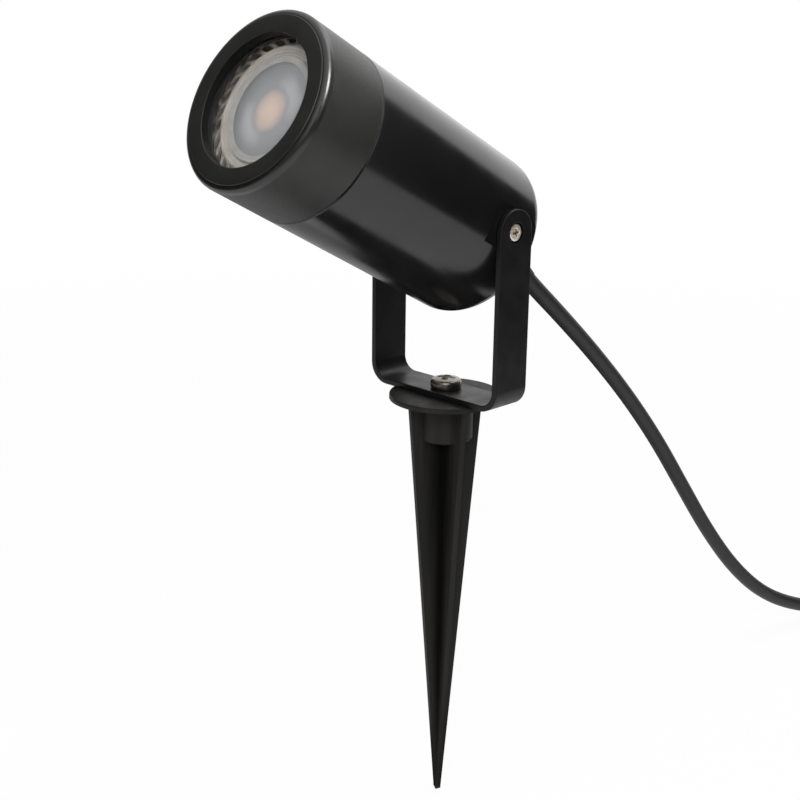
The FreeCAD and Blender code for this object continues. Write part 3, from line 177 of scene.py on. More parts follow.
def spline_points(name, places, resolution=6):
    """Points along a smooth NURBS line through a route's control points."""
    curve = bpy.data.curves.new(name, "CURVE")
    curve.dimensions = "3D"
    curve.resolution_u = resolution
    spline = curve.splines.new("NURBS")
    spline.points.add(len(places) - 1)
    for point, place in zip(spline.points, places):
        point.co = (*place, 1)
    spline.order_u = 3
    spline.use_endpoint_u = True
    carrier = bpy.data.objects.new(name, curve)
    line = bpy.data.meshes.new_from_object(carrier)
    points = [v.co.copy() for v in line.vertices]
    bpy.data.objects.remove(carrier)
    bpy.data.curves.remove(curve)
    bpy.data.meshes.remove(line)
    return points


# ---- Finishes ----


def new_finish(name, colour, roughness, metallic=0.0, specular=0.5):
    """A material with its plain values, before any detail."""
    material = bpy.data.materials.new(name)
    material.use_nodes = True
    shader = shader_of(material)
    shader.inputs["Base Color"].default_value = (*colour, 1)
    shader.inputs["Roughness"].default_value = roughness
    shader.inputs["Metallic"].default_value = metallic
    shader.inputs["Specular IOR Level"].default_value = specular
    return material


def shader_of(material):
    """The material's main shader."""
    return material.node_tree.nodes["Principled BSDF"]


def scaled(colour, factor):
    """A colour times a factor."""
    return tuple(channel * factor for channel in colour)


def feed(tree, source, socket):
    """Links an output to a socket, or writes a plain value into it."""
    if isinstance(source, bpy.types.NodeSocket):
        tree.links.new(source, socket)
    else:
        socket.default_value = source


def maths(tree, operation, *sources):
    """The result of an operation on numbers, each an output or a plain value."""
    node = tree.nodes.new("ShaderNodeMath")
    node.operation = operation
    for source, socket in zip(sources, node.inputs):
        feed(tree, source, socket)
    return node.outputs["Value"]


def vector_maths(tree, operation, *sources):
    """The result of an operation on vectors, each an output or a plain value."""
    node = tree.nodes.new("ShaderNodeVectorMath")
    node.operation = operation
    for source, socket in zip(sources, node.inputs):
        feed(tree, source, socket)
    gives_number = operation in ("LENGTH", "DISTANCE", "DOT_PRODUCT")
    return node.outputs["Value" if gives_number else "Vector"]


def place_on(material, stretch=(1, 1, 1)):
    """The piece's own coordinates in metres, stretched along its axes."""
    nodes = material.node_tree.nodes
    mapping = nodes.get("Mapping")
    if mapping is None:
        coordinates = nodes.new("ShaderNodeTexCoord")
        mapping = nodes.new("ShaderNodeMapping")
        material.node_tree.links.new(coordinates.outputs["Object"], mapping.inputs["Vector"])
        mapping.inputs["Scale"].default_value = stretch
    return mapping.outputs["Vector"]


def add_noise(material, size, detail=3.0, stretch=(1, 1, 1)):
    """Noise whose grains are about size millimetres across."""
    noise = material.node_tree.nodes.new("ShaderNodeTexNoise")
    noise.inputs["Scale"].default_value = 1 / (size * MM)
    noise.inputs["Detail"].default_value = detail
    material.node_tree.links.new(place_on(material, stretch), noise.inputs["Vector"])
    return noise.outputs["Fac"]


def add_bump(material, height, depth):
    """Bump of depth millimetres from a height between 0 and 1."""
    tree = material.node_tree
    bump = tree.nodes.new("ShaderNodeBump")
    bump.inputs["Strength"].default_value = 1.0
    bump.inputs["Distance"].default_value = depth * MM
    tree.links.new(height, bump.inputs["Height"])
    tree.links.new(bump.outputs["Normal"], shader_of(material).inputs["Normal"])
    return bump


def eased_edges(material, bump, width):
    """Shades the piece's edges, under its bump, as if eased by a radius of width millimetres."""
    eased = material.node_tree.nodes.new("ShaderNodeBevel")
    eased.samples = 6
    eased.inputs["Radius"].default_value = width * MM
    material.node_tree.links.new(eased.outputs["Normal"], bump.inputs["Normal"])


def spread(material, factor, low, high, start=0.3, end=0.7):
    """A number that runs from low to high as factor runs from start to end."""
    ramp = material.node_tree.nodes.new("ShaderNodeMapRange")
    ramp.inputs["From Min"].default_value = start
    ramp.inputs["From Max"].default_value = end
    ramp.inputs["To Min"].default_value = low
    ramp.inputs["To Max"].default_value = high
    material.node_tree.links.new(factor, ramp.inputs["Value"])
    return ramp.outputs["Result"]


def uneven_gloss(material, factor, low, high):
    """Roughness that varies from low to high with factor."""
    roughness = spread(material, factor, low, high)
    material.node_tree.links.new(roughness, shader_of(material).inputs["Roughness"])


def colour_ramp(tree, factor, stops):
    """A colour that varies with factor, from (position, colour) stops in rising order."""
    ramp = tree.nodes.new("ShaderNodeValToRGB")
    elements = ramp.color_ramp.elements
    while len(elements) < len(stops):
        elements.new(0.5)
    for element, (position, colour) in zip(elements, stops):
        element.position = position
        element.color = (*colour, 1)
    tree.links.new(factor, ramp.inputs["Fac"])
    return ramp.outputs["Color"]


def blotches(material, factor, colour, low, high):
    """Base colour that varies with factor from low to high times a colour."""
    tree = material.node_tree
    blotched = colour_ramp(tree, factor, [(0.35, scaled(colour, low)), (0.65, scaled(colour, high))])
    tree.links.new(blotched, shader_of(material).inputs["Base Color"])
    return blotched


def mix_colours(material, factor, first, second):
    """Base colour that turns from the first to the second as factor runs from 0 to 1."""
    tree = material.node_tree
    mix = tree.nodes.new("ShaderNodeMix")
    mix.data_type = "RGBA"
    for source, name in ((factor, "Factor"), (first, "A"), (second, "B")):
        feed(tree, source, mix.inputs[name])
    tree.links.new(mix.outputs["Result"], shader_of(material).inputs["Base Color"])


def gloss_housing(finish):
    """Smooth satin-gloss black coat: a faint orange peel and slightly uneven gloss."""
    material = new_finish("gloss_black_coat", finish.housing_colour, 0.2)
    uneven_gloss(material, add_noise(material, 14, 2.0), 0.16, 0.23)
    blotches(material, add_noise(material, 22, 4.0), finish.housing_colour, 0.8, 1.0)
    add_bump(material, add_noise(material, 2.5, 2.0), 0.005)
    return material


def matt_cap(finish):
    """Fine-grained matt coat of the cap."""
    material = new_finish("matt_cap_coat", finish.cap_colour, 0.42, specular=0.4)
    blotches(material, add_noise(material, 9, 5.0), finish.cap_colour, 0.85, 1.15)
    uneven_gloss(material, add_noise(material, 0.5, 3.0), 0.35, 0.49)
    add_bump(material, add_noise(material, 0.45, 2.0), 0.035)
    return material


def rubbed_edge_painted_shade(finish):
    """The cap's front edge, rubbed smoother by handling, and darker as painted shade."""
    # Painted shade: the cap's colour at 0.6 stands for the dark band on the edge's rounding.
    material = new_finish("cap_edge_coat", scaled(finish.cap_colour, 0.6), 0.3, specular=0.62)
    uneven_gloss(material, add_noise(material, 2.5, 3.0), 0.29, 0.37)
    add_bump(material, add_noise(material, 0.45, 2.0), 0.004)
    return material


def shaded_bore(finish):
    """The smoother coat inside the cap's opening, darkened to 0.3 of the cap's colour as painted shade."""
    material = new_finish("cap_bore_painted_shade", scaled(finish.cap_colour, 0.3), 0.4, specular=0.12)
    uneven_gloss(material, add_noise(material, 3, 3.0), 0.34, 0.5)
    return material


def satin_bracket(finish):
    """Satin coat of the bracket, eased along its cut edges."""
    material = new_finish("satin_bracket_coat", finish.bracket_colour, 0.4, specular=0.25)
    blotches(material, add_noise(material, 12, 5.0), finish.bracket_colour, 0.8, 1.2)
    uneven_gloss(material, add_noise(material, 6, 4.0), 0.33, 0.46)
    eased_edges(material, add_bump(material, add_noise(material, 0.6, 2.0), 0.02), 0.6)
    return material


# Reach of the spike's ribs at its tip and under its flange, and the height between, in metres.
RIB_TIP, RIB_TOP, RIB_HEIGHT = 0.001, 0.0151, 0.1658


def moulded_spike(finish):
    """Matt moulded plastic with flow streaks along the ribs, and painted shade that darkens it toward the
    valleys between them.
    """
    colour = finish.spike_colour
    material = new_finish("moulded_spike_plastic", colour, 0.48, specular=0.12)
    tree = material.node_tree
    streaks = add_noise(material, 3, 4.0, (1, 1, 0.06))
    streaked = blotches(material, streaks, colour, 0.8, 1.25)
    uneven_gloss(material, streaks, 0.42, 0.56)
    eased_edges(material, add_bump(material, streaks, 0.05), 0.4)
    place = tree.nodes.new("ShaderNodeTexCoord").outputs["Object"]
    split = tree.nodes.new("ShaderNodeSeparateXYZ")
    tree.links.new(place, split.inputs["Vector"])
    reach = vector_maths(tree, "LENGTH", vector_maths(tree, "MULTIPLY", place, (1, 1, 0)))
    widest = spread(material, split.outputs["Z"], RIB_TIP, RIB_TOP, 0.0, RIB_HEIGHT)
    # Painted shade: toward the axis, between the ribs, the colour falls to 0.12 of the plastic's and the
    # specular level drops.
    painted_shade_fade = spread(material, maths(tree, "DIVIDE", reach, widest), 0.2, 1.0, 0.2, 0.75)
    mix_colours(material, painted_shade_fade, (*scaled(colour, 0.12), 1), streaked)
    sheen = spread(material, painted_shade_fade, 0.02, 0.13, 0.25, 1.0)
    tree.links.new(sheen, shader_of(material).inputs["Specular IOR Level"])
    return material


def metal(name, colour, roughness, grain=0.4):
    """Bare or plated metal with an uneven polish."""
    material = new_finish(name, colour, roughness, metallic=1.0)
    uneven_gloss(material, add_noise(material, grain, 3.0), roughness * 0.8, roughness * 1.25)
    return material


def plain(name, colour, roughness, grain=0.8, depth=0.01):
    """Moulded plastic, ceramic or rubber with a fine grain."""
    material = new_finish(name, colour, roughness, specular=0.4)
    blotches(material, add_noise(material, grain * 8, 3.0), colour, 0.9, 1.08)
    add_bump(material, add_noise(material, grain, 2.0), depth)
    return material


def cream_bezel(lamp):
    """Cream plastic, a little yellowed, with an uneven tone."""
    material = new_finish("cream_bezel_plastic", lamp.bezel_colour, 0.42, specular=0.4)
    blotches(material, add_noise(material, 5, 4.0), lamp.bezel_colour, 0.86, 1.06)
    add_bump(material, add_noise(material, 0.4, 2.0), 0.02)
    return material


def lens_retainer(lamp):
    """Greyer, half-clear plastic of the ring that holds the lens."""
    colour = tuple((a + b) / 2 for a, b in zip(lamp.bezel_colour, lamp.lens_colour))
    material = new_finish("lens_retainer_plastic", colour, 0.3)
    blotches(material, add_noise(material, 4, 4.0), colour, 0.85, 1.08)
    return material


def skirt_plastic_painted_shade(lamp):
    """The duller plastic of the vented skirt: the bezel's cream, darkened in uneven blotches as painted
    shade.
    """
    material = new_finish("skirt_plastic_painted_shade", scaled(lamp.bezel_colour, 0.6), 0.5, specular=0.35)
    blotches(material, add_noise(material, 3, 4.0), lamp.bezel_colour, 0.32, 1.0)
    return material


# The lens's inner ripples: how many to the metre, and how far they move what shows through, in metres.
RIPPLES, RIPPLE_SHIFT = 260, 0.0016


def diffusing_lens(lamp):
    """Satin blue-grey lens: the warm chip shows through its middle; a faint paler ring and two paler arcs
    across it are painted highlights.
    """
    glow, lens = lamp.chip_colour, lamp.lens_colour
    material = new_finish("diffusing_lens", lens, 0.33, specular=0.45)
    tree = material.node_tree
    place = tree.nodes.new("ShaderNodeTexCoord").outputs["Object"]
    ripples = tree.nodes.new("ShaderNodeTexNoise")
    ripples.inputs["Scale"].default_value = RIPPLES
    ripples.inputs["Detail"].default_value = 3
    tree.links.new(place, ripples.inputs["Vector"])
    shifted = vector_maths(tree, "MULTIPLY_ADD", ripples.outputs["Color"], [RIPPLE_SHIFT] * 3, place)
    middle = HEAD @ Vector((*lamp.chip_shift, (LAMP_FRONT - 0.2) * MM)) + Vector([RIPPLE_SHIFT / 2] * 3)
    reach = vector_maths(tree, "DISTANCE", shifted, middle)
    share = spread(material, reach, 0.0, 1.0, 0.0, lamp.lens_radius)
    # Painted highlight: the ring at 0.46 to 0.62 of the lens's radius is a tenth paler.
    rings = colour_ramp(tree, share, [
        (0.0, scaled(glow, 1.1)), (0.22, glow), (0.34, tuple(g * 0.6 + c * 0.5 for g, c in zip(glow, lens))),
        (0.46, scaled(lens, 1.1)), (0.62, scaled(lens, 1.1)), (0.78, scaled(lens, 0.96)),
        (0.92, scaled(lens, 0.9)), (1.0, scaled(lens, 0.72)),
    ])
    # Painted highlight: two paler arcs, at 1.9 times the lens's colour, on either side across the lens.
    levels = [(0.42, 0.0), (0.56, 1.0), (0.68, 0.8), (0.86, 0.0)]
    band = colour_ramp(tree, share, [(position, [level] * 3) for position, level in levels])
    ray = vector_maths(tree, "NORMALIZE", vector_maths(tree, "SUBTRACT", shifted, middle))
    side = (HEAD.to_3x3() @ Vector((*lamp.highlight_arc_side, 0))).normalized()
    either_side = maths(tree, "ABSOLUTE", vector_maths(tree, "DOT_PRODUCT", ray, side))
    arcs = maths(tree, "MULTIPLY", spread(material, either_side, 0.0, 0.75, 0.55, 0.95), band)
    mix_colours(material, arcs, rings, (*scaled(lens, 1.9), 1))
    add_bump(material, add_noise(material, 0.7, 2.0), 0.02)
    return material


def clear_glass():
    """Clear glass that lets light in as well as the view."""
    material = new_finish("clear_front_glass", (0.985, 0.99, 0.985), 0.0)
    shader = shader_of(material)
    shader.inputs["Transmission Weight"].default_value = 1.0
    shader.inputs["IOR"].default_value = 1.5
    nodes, links = material.node_tree.nodes, material.node_tree.links
    light_path = nodes.new("ShaderNodeLightPath")
    through = nodes.new("ShaderNodeBsdfTransparent")
    mix = nodes.new("ShaderNodeMixShader")
    links.new(light_path.outputs["Is Shadow Ray"], mix.inputs["Fac"])
    links.new(shader.outputs["BSDF"], mix.inputs[1])
    links.new(through.outputs["BSDF"], mix.inputs[2])
    links.new(mix.outputs["Shader"], nodes["Material Output"].inputs["Surface"])
    return material


def dress(node, material):
    """Gives a CAD node its finish."""
    mesh = frame["nodes"][node].data
    mesh.materials.clear()
    mesh.materials.append(material)


# ---- Settings ----


class SpotlightFinish(bpy.types.PropertyGroup):
    """Colours of the visible finishes."""

    housing_colour: FloatVectorProperty(
        name="Housing", description="Coat of the housing", subtype="COLOR", default=(0.0075, 0.0073, 0.0078))
    cap_colour: FloatVectorProperty(
        name="Cap", description="Coat of the front cap", subtype="COLOR", default=(0.0105, 0.0104, 0.0096))
    bracket_colour: FloatVectorProperty(
        name="Bracket", description="Coat of the bracket", subtype="COLOR", default=(0.0065, 0.0064, 0.0068))
    spike_colour: FloatVectorProperty(
        name="Spike", description="Plastic of the spike", subtype="COLOR", default=(0.0155, 0.0148, 0.0138))
    lead_colour: FloatVectorProperty(
        name="Lead", description="Sheath of the lead", subtype="COLOR", default=(0.0125, 0.0114, 0.0112))


class SpotlightHead(bpy.types.PropertyGroup):
    """Sizes of the front cap."""

    cap_radius: FloatProperty(
        name="Cap radius", description="Outside of the cap", subtype="DISTANCE", default=0.03)
    cap_round: FloatProperty(
        name="Cap rounding", description="Rounding of the front edge", subtype="DISTANCE", default=0.0019)
    opening_radius: FloatProperty(
        name="Opening radius", description="Opening over the glass", subtype="DISTANCE", default=0.022)


class SpotlightLamp(bpy.types.PropertyGroup):
    """Sizes and colours of the lamp behind the glass."""

    rim_radius: FloatProperty(
        name="Rim radius", description="Radius of the lamp's rim", subtype="DISTANCE", default=0.025)
    lens_radius: FloatProperty(
        name="Lens radius", description="Radius of the lamp's lens", subtype="DISTANCE", default=0.0157)
    window_count: IntProperty(
        name="Windows", description="Number of vent windows in the skirt", default=27)
    window_width: FloatProperty(
        name="Window width", description="Widest place of a window", subtype="DISTANCE", default=0.0036)
    window_slant: FloatProperty(
        name="Window slant", description="Turn of a window from its inner to its outer end",
        subtype="ANGLE", default=math.radians(9))
    bezel_colour: FloatVectorProperty(
        name="Bezel", description="Plastic of the bezel", subtype="COLOR", default=(0.27, 0.246, 0.216))
    lens_colour: FloatVectorProperty(
        name="Lens", description="Body of the lens", subtype="COLOR", default=(0.157, 0.158, 0.165))
    chip_colour: FloatVectorProperty(
        name="Chip", description="Light chip seen through the lens",
        subtype="COLOR", default=(0.41, 0.315, 0.265))
    chip_shift: FloatVectorProperty(
        name="Chip shift", description="Where the chip shows through the lens, off its middle",
        subtype="TRANSLATION", size=2, default=(0.0012, -0.0006))
    # The two paler arcs are painted highlights.
    highlight_arc_side: FloatVectorProperty(
        name="Arc side", description="Way across the lens to its two paler arcs",
        subtype="DIRECTION", size=2, default=(0.8, 0.6))


class SpotlightLead(bpy.types.PropertyGroup):
    """Sizes of the free lead and its coil."""

    diameter: FloatProperty(
        name="Diameter", description="Diameter of the sheath", subtype="DISTANCE", default=0.0066)
    relief_length: FloatProperty(
        name="Relief length", description="Length of the bend relief", subtype="DISTANCE", default=0.0215)
    relief_wall: FloatProperty(
        name="Relief wall", description="Wall of the bend relief at the gland",
        subtype="DISTANCE", default=0.0014)
    coil_radius: FloatProperty(
        name="Coil radius", description="Outermost turn's middle line", subtype="DISTANCE", default=0.0385)
    coil_pitch: FloatProperty(
        name="Coil pitch", description="Step from turn to turn", subtype="DISTANCE", default=0.0073)
    lower_turns: FloatProperty(
        name="Lower turns", description="Turns in the coil's lower layer", default=1.5)
    upper_turns: FloatProperty(
        name="Upper turns", description="Turns in the coil's upper layer", default=1.25)
    coil_lift: FloatProperty(
        name="Coil lift", description="Height of the coil's underside", subtype="DISTANCE", default=0.001)
    layer_gap: FloatProperty(
        name="Layer gap", description="Room between the two layers", subtype="DISTANCE", default=0.0006)
    points_per_turn: IntProperty(
        name="Points per turn", description="Control points in each turn of the coil", default=24)


# ---- Stage ----

# The camera that fits the photographed view: its place, its turn about the vertical, how far it looks
# down, its roll, and its lens in millimetres.
CAMERA_PLACE = Vector((0.31918, -0.34596, 0.30843))
CAMERA_AZIMUTH = math.radians(44.754)
CAMERA_RISE = math.radians(17.003)
CAMERA_ROLL = math.radians(0.704)
CAMERA_LENS = 59.68


def add_camera():
    """The camera at its fitted place."""
    right = Vector((math.cos(CAMERA_AZIMUTH), math.sin(CAMERA_AZIMUTH), 0))
    back = Vector((
        math.sin(CAMERA_AZIMUTH) * math.cos(CAMERA_RISE),
        -math.cos(CAMERA_AZIMUTH) * math.cos(CAMERA_RISE),
        math.sin(CAMERA_RISE),
    ))
    up = back.cross(right)
    across = right * math.cos(CAMERA_ROLL) + up * math.sin(CAMERA_ROLL)
    upright = up * math.cos(CAMERA_ROLL) - right * math.sin(CAMERA_ROLL)
    data = bpy.data.cameras.new("camera")
    data.lens = CAMERA_LENS
    data.sensor_width = 36
    data.clip_start = 0.01
    camera = bpy.data.objects.new("camera", data)
    turned = Matrix((across, upright, back)).transposed().to_4x4()
    camera.matrix_world = Matrix.Translation(CAMERA_PLACE) @ turned
    bpy.context.scene.collection.objects.link(camera)
    bpy.context.scene.camera = camera


def white_to_lenses(tree, surface, output, level):
    """Makes what camera, glossy and transmission rays see plain white, at a level or along an output."""
    light_path = tree.nodes.new("ShaderNodeLightPath")
    seen = light_path.outputs["Is Camera Ray"]
    for kind in ("Is Glossy Ray", "Is Transmission Ray"):
        seen = maths(tree, "MAXIMUM", seen, light_path.outputs[kind])
    on_a_piece = output.type == "OUTPUT_MATERIAL"
    white = tree.nodes.new("ShaderNodeEmission" if on_a_piece else "ShaderNodeBackground")
    white.inputs["Color"].default_value = (1, 1, 1, 1)
    white.inputs["Strength"].default_value = 1.0
    mix = tree.nodes.new("ShaderNodeMixShader")
    tree.links.new(maths(tree, "MULTIPLY", seen, level), mix.inputs["Fac"])
    tree.links.new(surface, mix.inputs[1])
    tree.links.new(white.outputs[0], mix.inputs[2])
    tree.links.new(mix.outputs["Shader"], output.inputs["Surface"])


def add_world(level):
    """Even white light at a level, seen as plain white."""
    world = bpy.data.worlds.new("studio")
    world.use_nodes = True
    bpy.context.scene.world = world
    tree = world.node_tree
    background = tree.nodes["Background"]
    background.inputs["Color"].default_value = (1, 1, 1, 1)
    background.inputs["Strength"].default_value = level
    white_to_lenses(tree, background.outputs["Background"], tree.nodes["World Output"], 1.0)


def add_floor():
    """A pale floor that keeps the shadow near the object and fades to white further out."""
    bpy.ops.mesh.primitive_circle_add(vertices=96, radius=4, fill_type="NGON", location=(0, 0, -0.0004))
    floor = bpy.context.object
    floor.name = "floor"
    material = new_finish("pale_floor", (0.9, 0.9, 0.9), 0.8, specular=0.0)
    tree = material.node_tree
    level = spread(material, vector_maths(tree, "LENGTH", place_on(material)), 0.93, 1.0, 0.35, 1.2)
    white_to_lenses(tree, shader_of(material).outputs["BSDF"], tree.nodes["Material Output"], level)
    floor.data.materials.append(material)


def add_light(name, place, target, width, height, watts, beam=180):
    """A softbox that faces a target, with its beam's angle in degrees."""
    data = bpy.data.lights.new(name, "AREA")
    data.shape = "RECTANGLE"
    data.size = width
    data.size_y = height
    data.energy = watts
    data.spread = math.radians(beam)
    light = bpy.data.objects.new(name, data)
    facing = Vector(place) - Vector(target)
    light.matrix_world = Matrix.Translation(place) @ facing.to_track_quat("Z", "Y").to_matrix().to_4x4()
    light.visible_camera = False
    bpy.context.scene.collection.objects.link(light)


def add_card(name, place, target, width, height, level, turn=0.0):
    """A card outside the view, which only reflections show, black or glowing at a level."""
    bpy.ops.mesh.primitive_plane_add(size=1)
    card = bpy.context.object
    card.name = name
    card.data.transform(Matrix.Rotation(turn, 4, "Z") @ Matrix.Diagonal((width, height, 1, 1)))
    facing = (Vector(target) - Vector(place)).normalized()
    card.matrix_world = Matrix.Translation(place) @ facing.to_track_quat("Z", "Y").to_matrix().to_4x4()
    material = bpy.data.materials.new(name)
    material.use_nodes = True
    glow = material.node_tree.nodes.new("ShaderNodeEmission")
    glow.inputs["Color"].default_value = (1, 1, 1, 1)
    glow.inputs["Strength"].default_value = level
    material.node_tree.links.new(
        glow.outputs["Emission"], material.node_tree.nodes["Material Output"].inputs["Surface"])
    card.data.materials.append(material)
    card.visible_camera = False
    card.visible_diffuse = False
    card.visible_shadow = False
    card.visible_transmission = False


def add_floor_card(name, place, width, depth, level, turn=0.0):
    """A card that lies just over the floor, turned on it by an angle in degrees."""
    add_card(name, place, Vector(place) + Z, width, depth, level, math.radians(turn))


class SPOTLIGHT_OT_stage(bpy.types.Operator):
    """Adds the camera, the pale floor, the studio lights and the cards that the gloss reflects."""

    bl_idname = "spotlight.stage"
    bl_label = "Stage"

    def execute(self, context):
        add_camera()
        add_world(0.55)
        add_floor()
        target = (0, -0.03, 0.2)
        add_light("front_softbox", (0.6, -0.8, 0.85), target, 0.4, 0.4, 6.5)
        add_light("top_softbox", (0.2, 0.5, 1.3), target, 1.0, 1.0, 7)
        add_card("right_flag", (0.41, 0.235, 0.5), (0, 0, 0.5), 1.1, 1.0, 0.0)
        add_card("front_flag", (0.56, -0.56, 0.6), (0, 0, 0.6), 1.7, 1.2, 0.0)
        add_card("left_flag", (-0.68, -0.68, 0.6), (0, 0, 0.6), 1.5, 1.2, 0.0)
        # Painted shade in reflections: black cards on the floor under the object stand for the floor's
        # shadow there.
        add_floor_card("foot_flag", (0.0025, 0.0475, 0.001), 0.085, 0.175, 0.0)
        add_floor_card("left_foot_flag", (-0.077, 0.088, 0.0013), 0.185, 0.13, 0.0, 149.8)
        add_floor_card("far_foot_flag", (-0.228, 0.206, 0.0016), 0.2, 0.1, 0.0, 136.2)
        add_light("cap_spark", (0.12, -0.058, 0.36), (0.029, -0.084, 0.284), 0.05, 0.07, 0.023, beam=40)
        # Painted shade in reflections: a dim grey card stands for the darker floor far behind.
        add_floor_card("far_floor", (-0.55, 0.45, 0.001), 0.9, 0.9, 0.45)
        add_card("back_glow", (-0.35, 1.3, 0.95), (-0.35, 0, 0.95), 1.9, 1.3, 1.3)
        return {"FINISHED"}


# ---- Lead ----

# Control points of the lead, from its gland to the last run before the coil, in metres.
LEAD_ROUTE = [
    (0.0, 0.0474, 0.2018),
    (0.0, 0.0663, 0.1867),
    (0.0, 0.0905, 0.1664),
    (0.0006, 0.1155, 0.1430),
    (0.0024, 0.1380, 0.1180),
    (0.0054, 0.1575, 0.0915),
    (0.0096, 0.1755, 0.0655),
    (0.0146, 0.1945, 0.0420),
    (0.0204, 0.2150, 0.0235),
    (0.0274, 0.2380, 0.0116),
    (0.0346, 0.2610, 0.0058),
    (0.0455, 0.2970, 0.0043),
]
# Where the lead leaves its gland, along the head, and how far it then runs straight, in metres.
GLAND_MOUTH, LEAD_STRAIGHT = -0.0301, 0.009
# The straight run into the coil, and the coil's middle on the ground, in metres.
LEAD_LAST_RUN = 0.024
COIL_MIDDLE = Vector((0.014, 0.363, 0.0))


def coil_route(lead):
    """Control points of the coil: in on the lower layer, up at its inner turn, and out on the upper."""
    per_turn = lead.points_per_turn
    lower = round(lead.lower_turns * per_turn)
    upper = round(lead.upper_turns * per_turn)
    climb = per_turn // 2
    radius = lead.diameter / 2
    low = lead.coil_lift + radius
    high = low + lead.diameter + lead.layer_gap
    inner = lead.coil_radius - lead.coil_pitch * lead.lower_turns
    layout = [(i, lead.coil_radius - lead.coil_pitch * i / per_turn, low) for i in range(lower + 1)]
    for i in range(1, climb):
        share = (1 - math.cos(math.pi * i / climb)) / 2
        layout.append((lower + i, inner, low + (high - low) * share))
    layout += [(lower + climb + i, inner + lead.coil_pitch * i / per_turn, high) for i in range(upper + 1)]
    outside = 2 / (1 + math.cos(math.pi / per_turn))
    places = []
    for step, reach, level in layout:
        angle = 2 * math.pi * step / per_turn
        spoke = Vector((math.cos(angle), math.sin(angle), 0))
        places.append(COIL_MIDDLE + spoke * reach * outside + Z * level)
    return places


def tapered_relief(points, lead):
    """Vertices and faces of the ribbed, tapered sleeve over the lead's first stretch."""
    stations = [0.0]
    for here, ahead in zip(points, points[1:]):
        stations.append(stations[-1] + (ahead - here).length)
    count, sides, ribs = 90, 40, 8
    clearance, least_wall = 0.00004, 0.0003
    groove, deeper_groove = 0.00025, 0.0003
    line = []
    for i in range(count + 1):
        station = lead.relief_length * i / count
        j = max(k for k in range(len(stations) - 1) if stations[k] <= station)
        share = (station - stations[j]) / (stations[j + 1] - stations[j])
        line.append(points[j].lerp(points[j + 1], share))
    round_line, _ = tube_mesh(line, 1.0, sides, closed_ends=False)
    bore = lead.diameter / 2 + clearance
    outside, inside = [], []
    for i, place in enumerate(line):
        share = i / count
        width = bore + least_wall + lead.relief_wall * (1 - share)
        if 0.1 < share < 0.93 and math.sin(2 * math.pi * share * ribs) < -0.3:
            width -= groove + deeper_groove * (1 - share)
        for vert in round_line[i * sides:(i + 1) * sides]:
            spoke = (vert - place).normalized()
            outside.append(place + spoke * width)
            inside.append(place + spoke * bore)
    rings = [range(i * sides, (i + 1) * sides) for i in range(2 * (count + 1))]
    outer, inner = rings[:count + 1], rings[count + 1:]
    return outside + inside, list(bands(outer + inner[::-1] + outer[:1]))


class SPOTLIGHT_OT_lead(bpy.types.Operator):
    """Adds the free rubber lead with its tied coil and bared cores."""

    bl_idname = "spotlight.lead"
    bl_label = "Lead"

    def execute(self, context):
        lead = context.scene.spotlight_lead
        finish = context.scene.spotlight_finish
        radius = lead.diameter / 2
        mouth = HEAD @ Vector((0, 0, GLAND_MOUTH))
        coil = coil_route(lead)
        entry = COIL_MIDDLE + Vector((lead.coil_radius, 0, lead.coil_lift + radius))
        way_in = Vector((-lead.coil_pitch / (2 * math.pi), lead.coil_radius, 0)).normalized()
        joint = entry - way_in * lead.diameter
        turns = lead.upper_turns - lead.lower_turns
        reach = lead.coil_radius + lead.coil_pitch * turns
        turned = Matrix.Rotation(2 * math.pi * (lead.upper_turns + lead.lower_turns + 0.5), 3, "Z")
        exit_place = COIL_MIDDLE + turned @ Vector((reach, 0, 0)) + Z * coil[-1].z
        way_out = turned @ Vector((lead.coil_pitch / (2 * math.pi), reach, 0)).normalized()
        end = exit_place + way_out * lead.diameter
        route = [mouth, mouth - AIM * LEAD_STRAIGHT]
        route += [Vector(place) for place in LEAD_ROUTE]
        route += [joint - way_in * LEAD_LAST_RUN, joint]
        route += coil[1:-1] + [exit_place, end]
        points = spline_points("lead_line", route)
        rubber = plain("lead_rubber_sheath", finish.lead_colour, 0.5, 0.5, 0.02)
        verts, faces = tube_mesh(points, radius, 20)
        sheath = mesh_piece("lead_sheath", verts, faces, None, rubber, crease=1.0)
        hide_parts("cord_lead", "cord_coil")
        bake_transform(sheath)
        verts, faces = tapered_relief(spline_points("relief_line", route, 24), lead)
        sleeve = plain("relief_rubber", finish.lead_colour, 0.55)
        relief = mesh_piece("lead_bend_relief", verts, faces, None, sleeve, crease=0.7)
        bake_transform(relief)
        return {"FINISHED"}


# ---- Head and screws ----


# Head radius, head height, shank radius and length of the screws, in millimetres.
PIVOT_SCREW = (3.0, 1.3, 1.75, 7.5)
BASE_SCREW = (5.8, 4.2, 3.0, 13.5)
# How far the cross in each head is turned, in radians.
PIVOT_SCREW_TURN, BASE_SCREW_TURN = 0.12, 0.5


def bend(start, control, end, steps):
    """Points along a quadratic curve, without its start."""
    points = []
    for i in range(1, steps + 1):
        t = i / steps
        points.append(tuple(
            a * (1 - t) ** 2 + 2 * b * t * (1 - t) + c * t ** 2 for a, b, c in zip(start, control, end)))
    return points


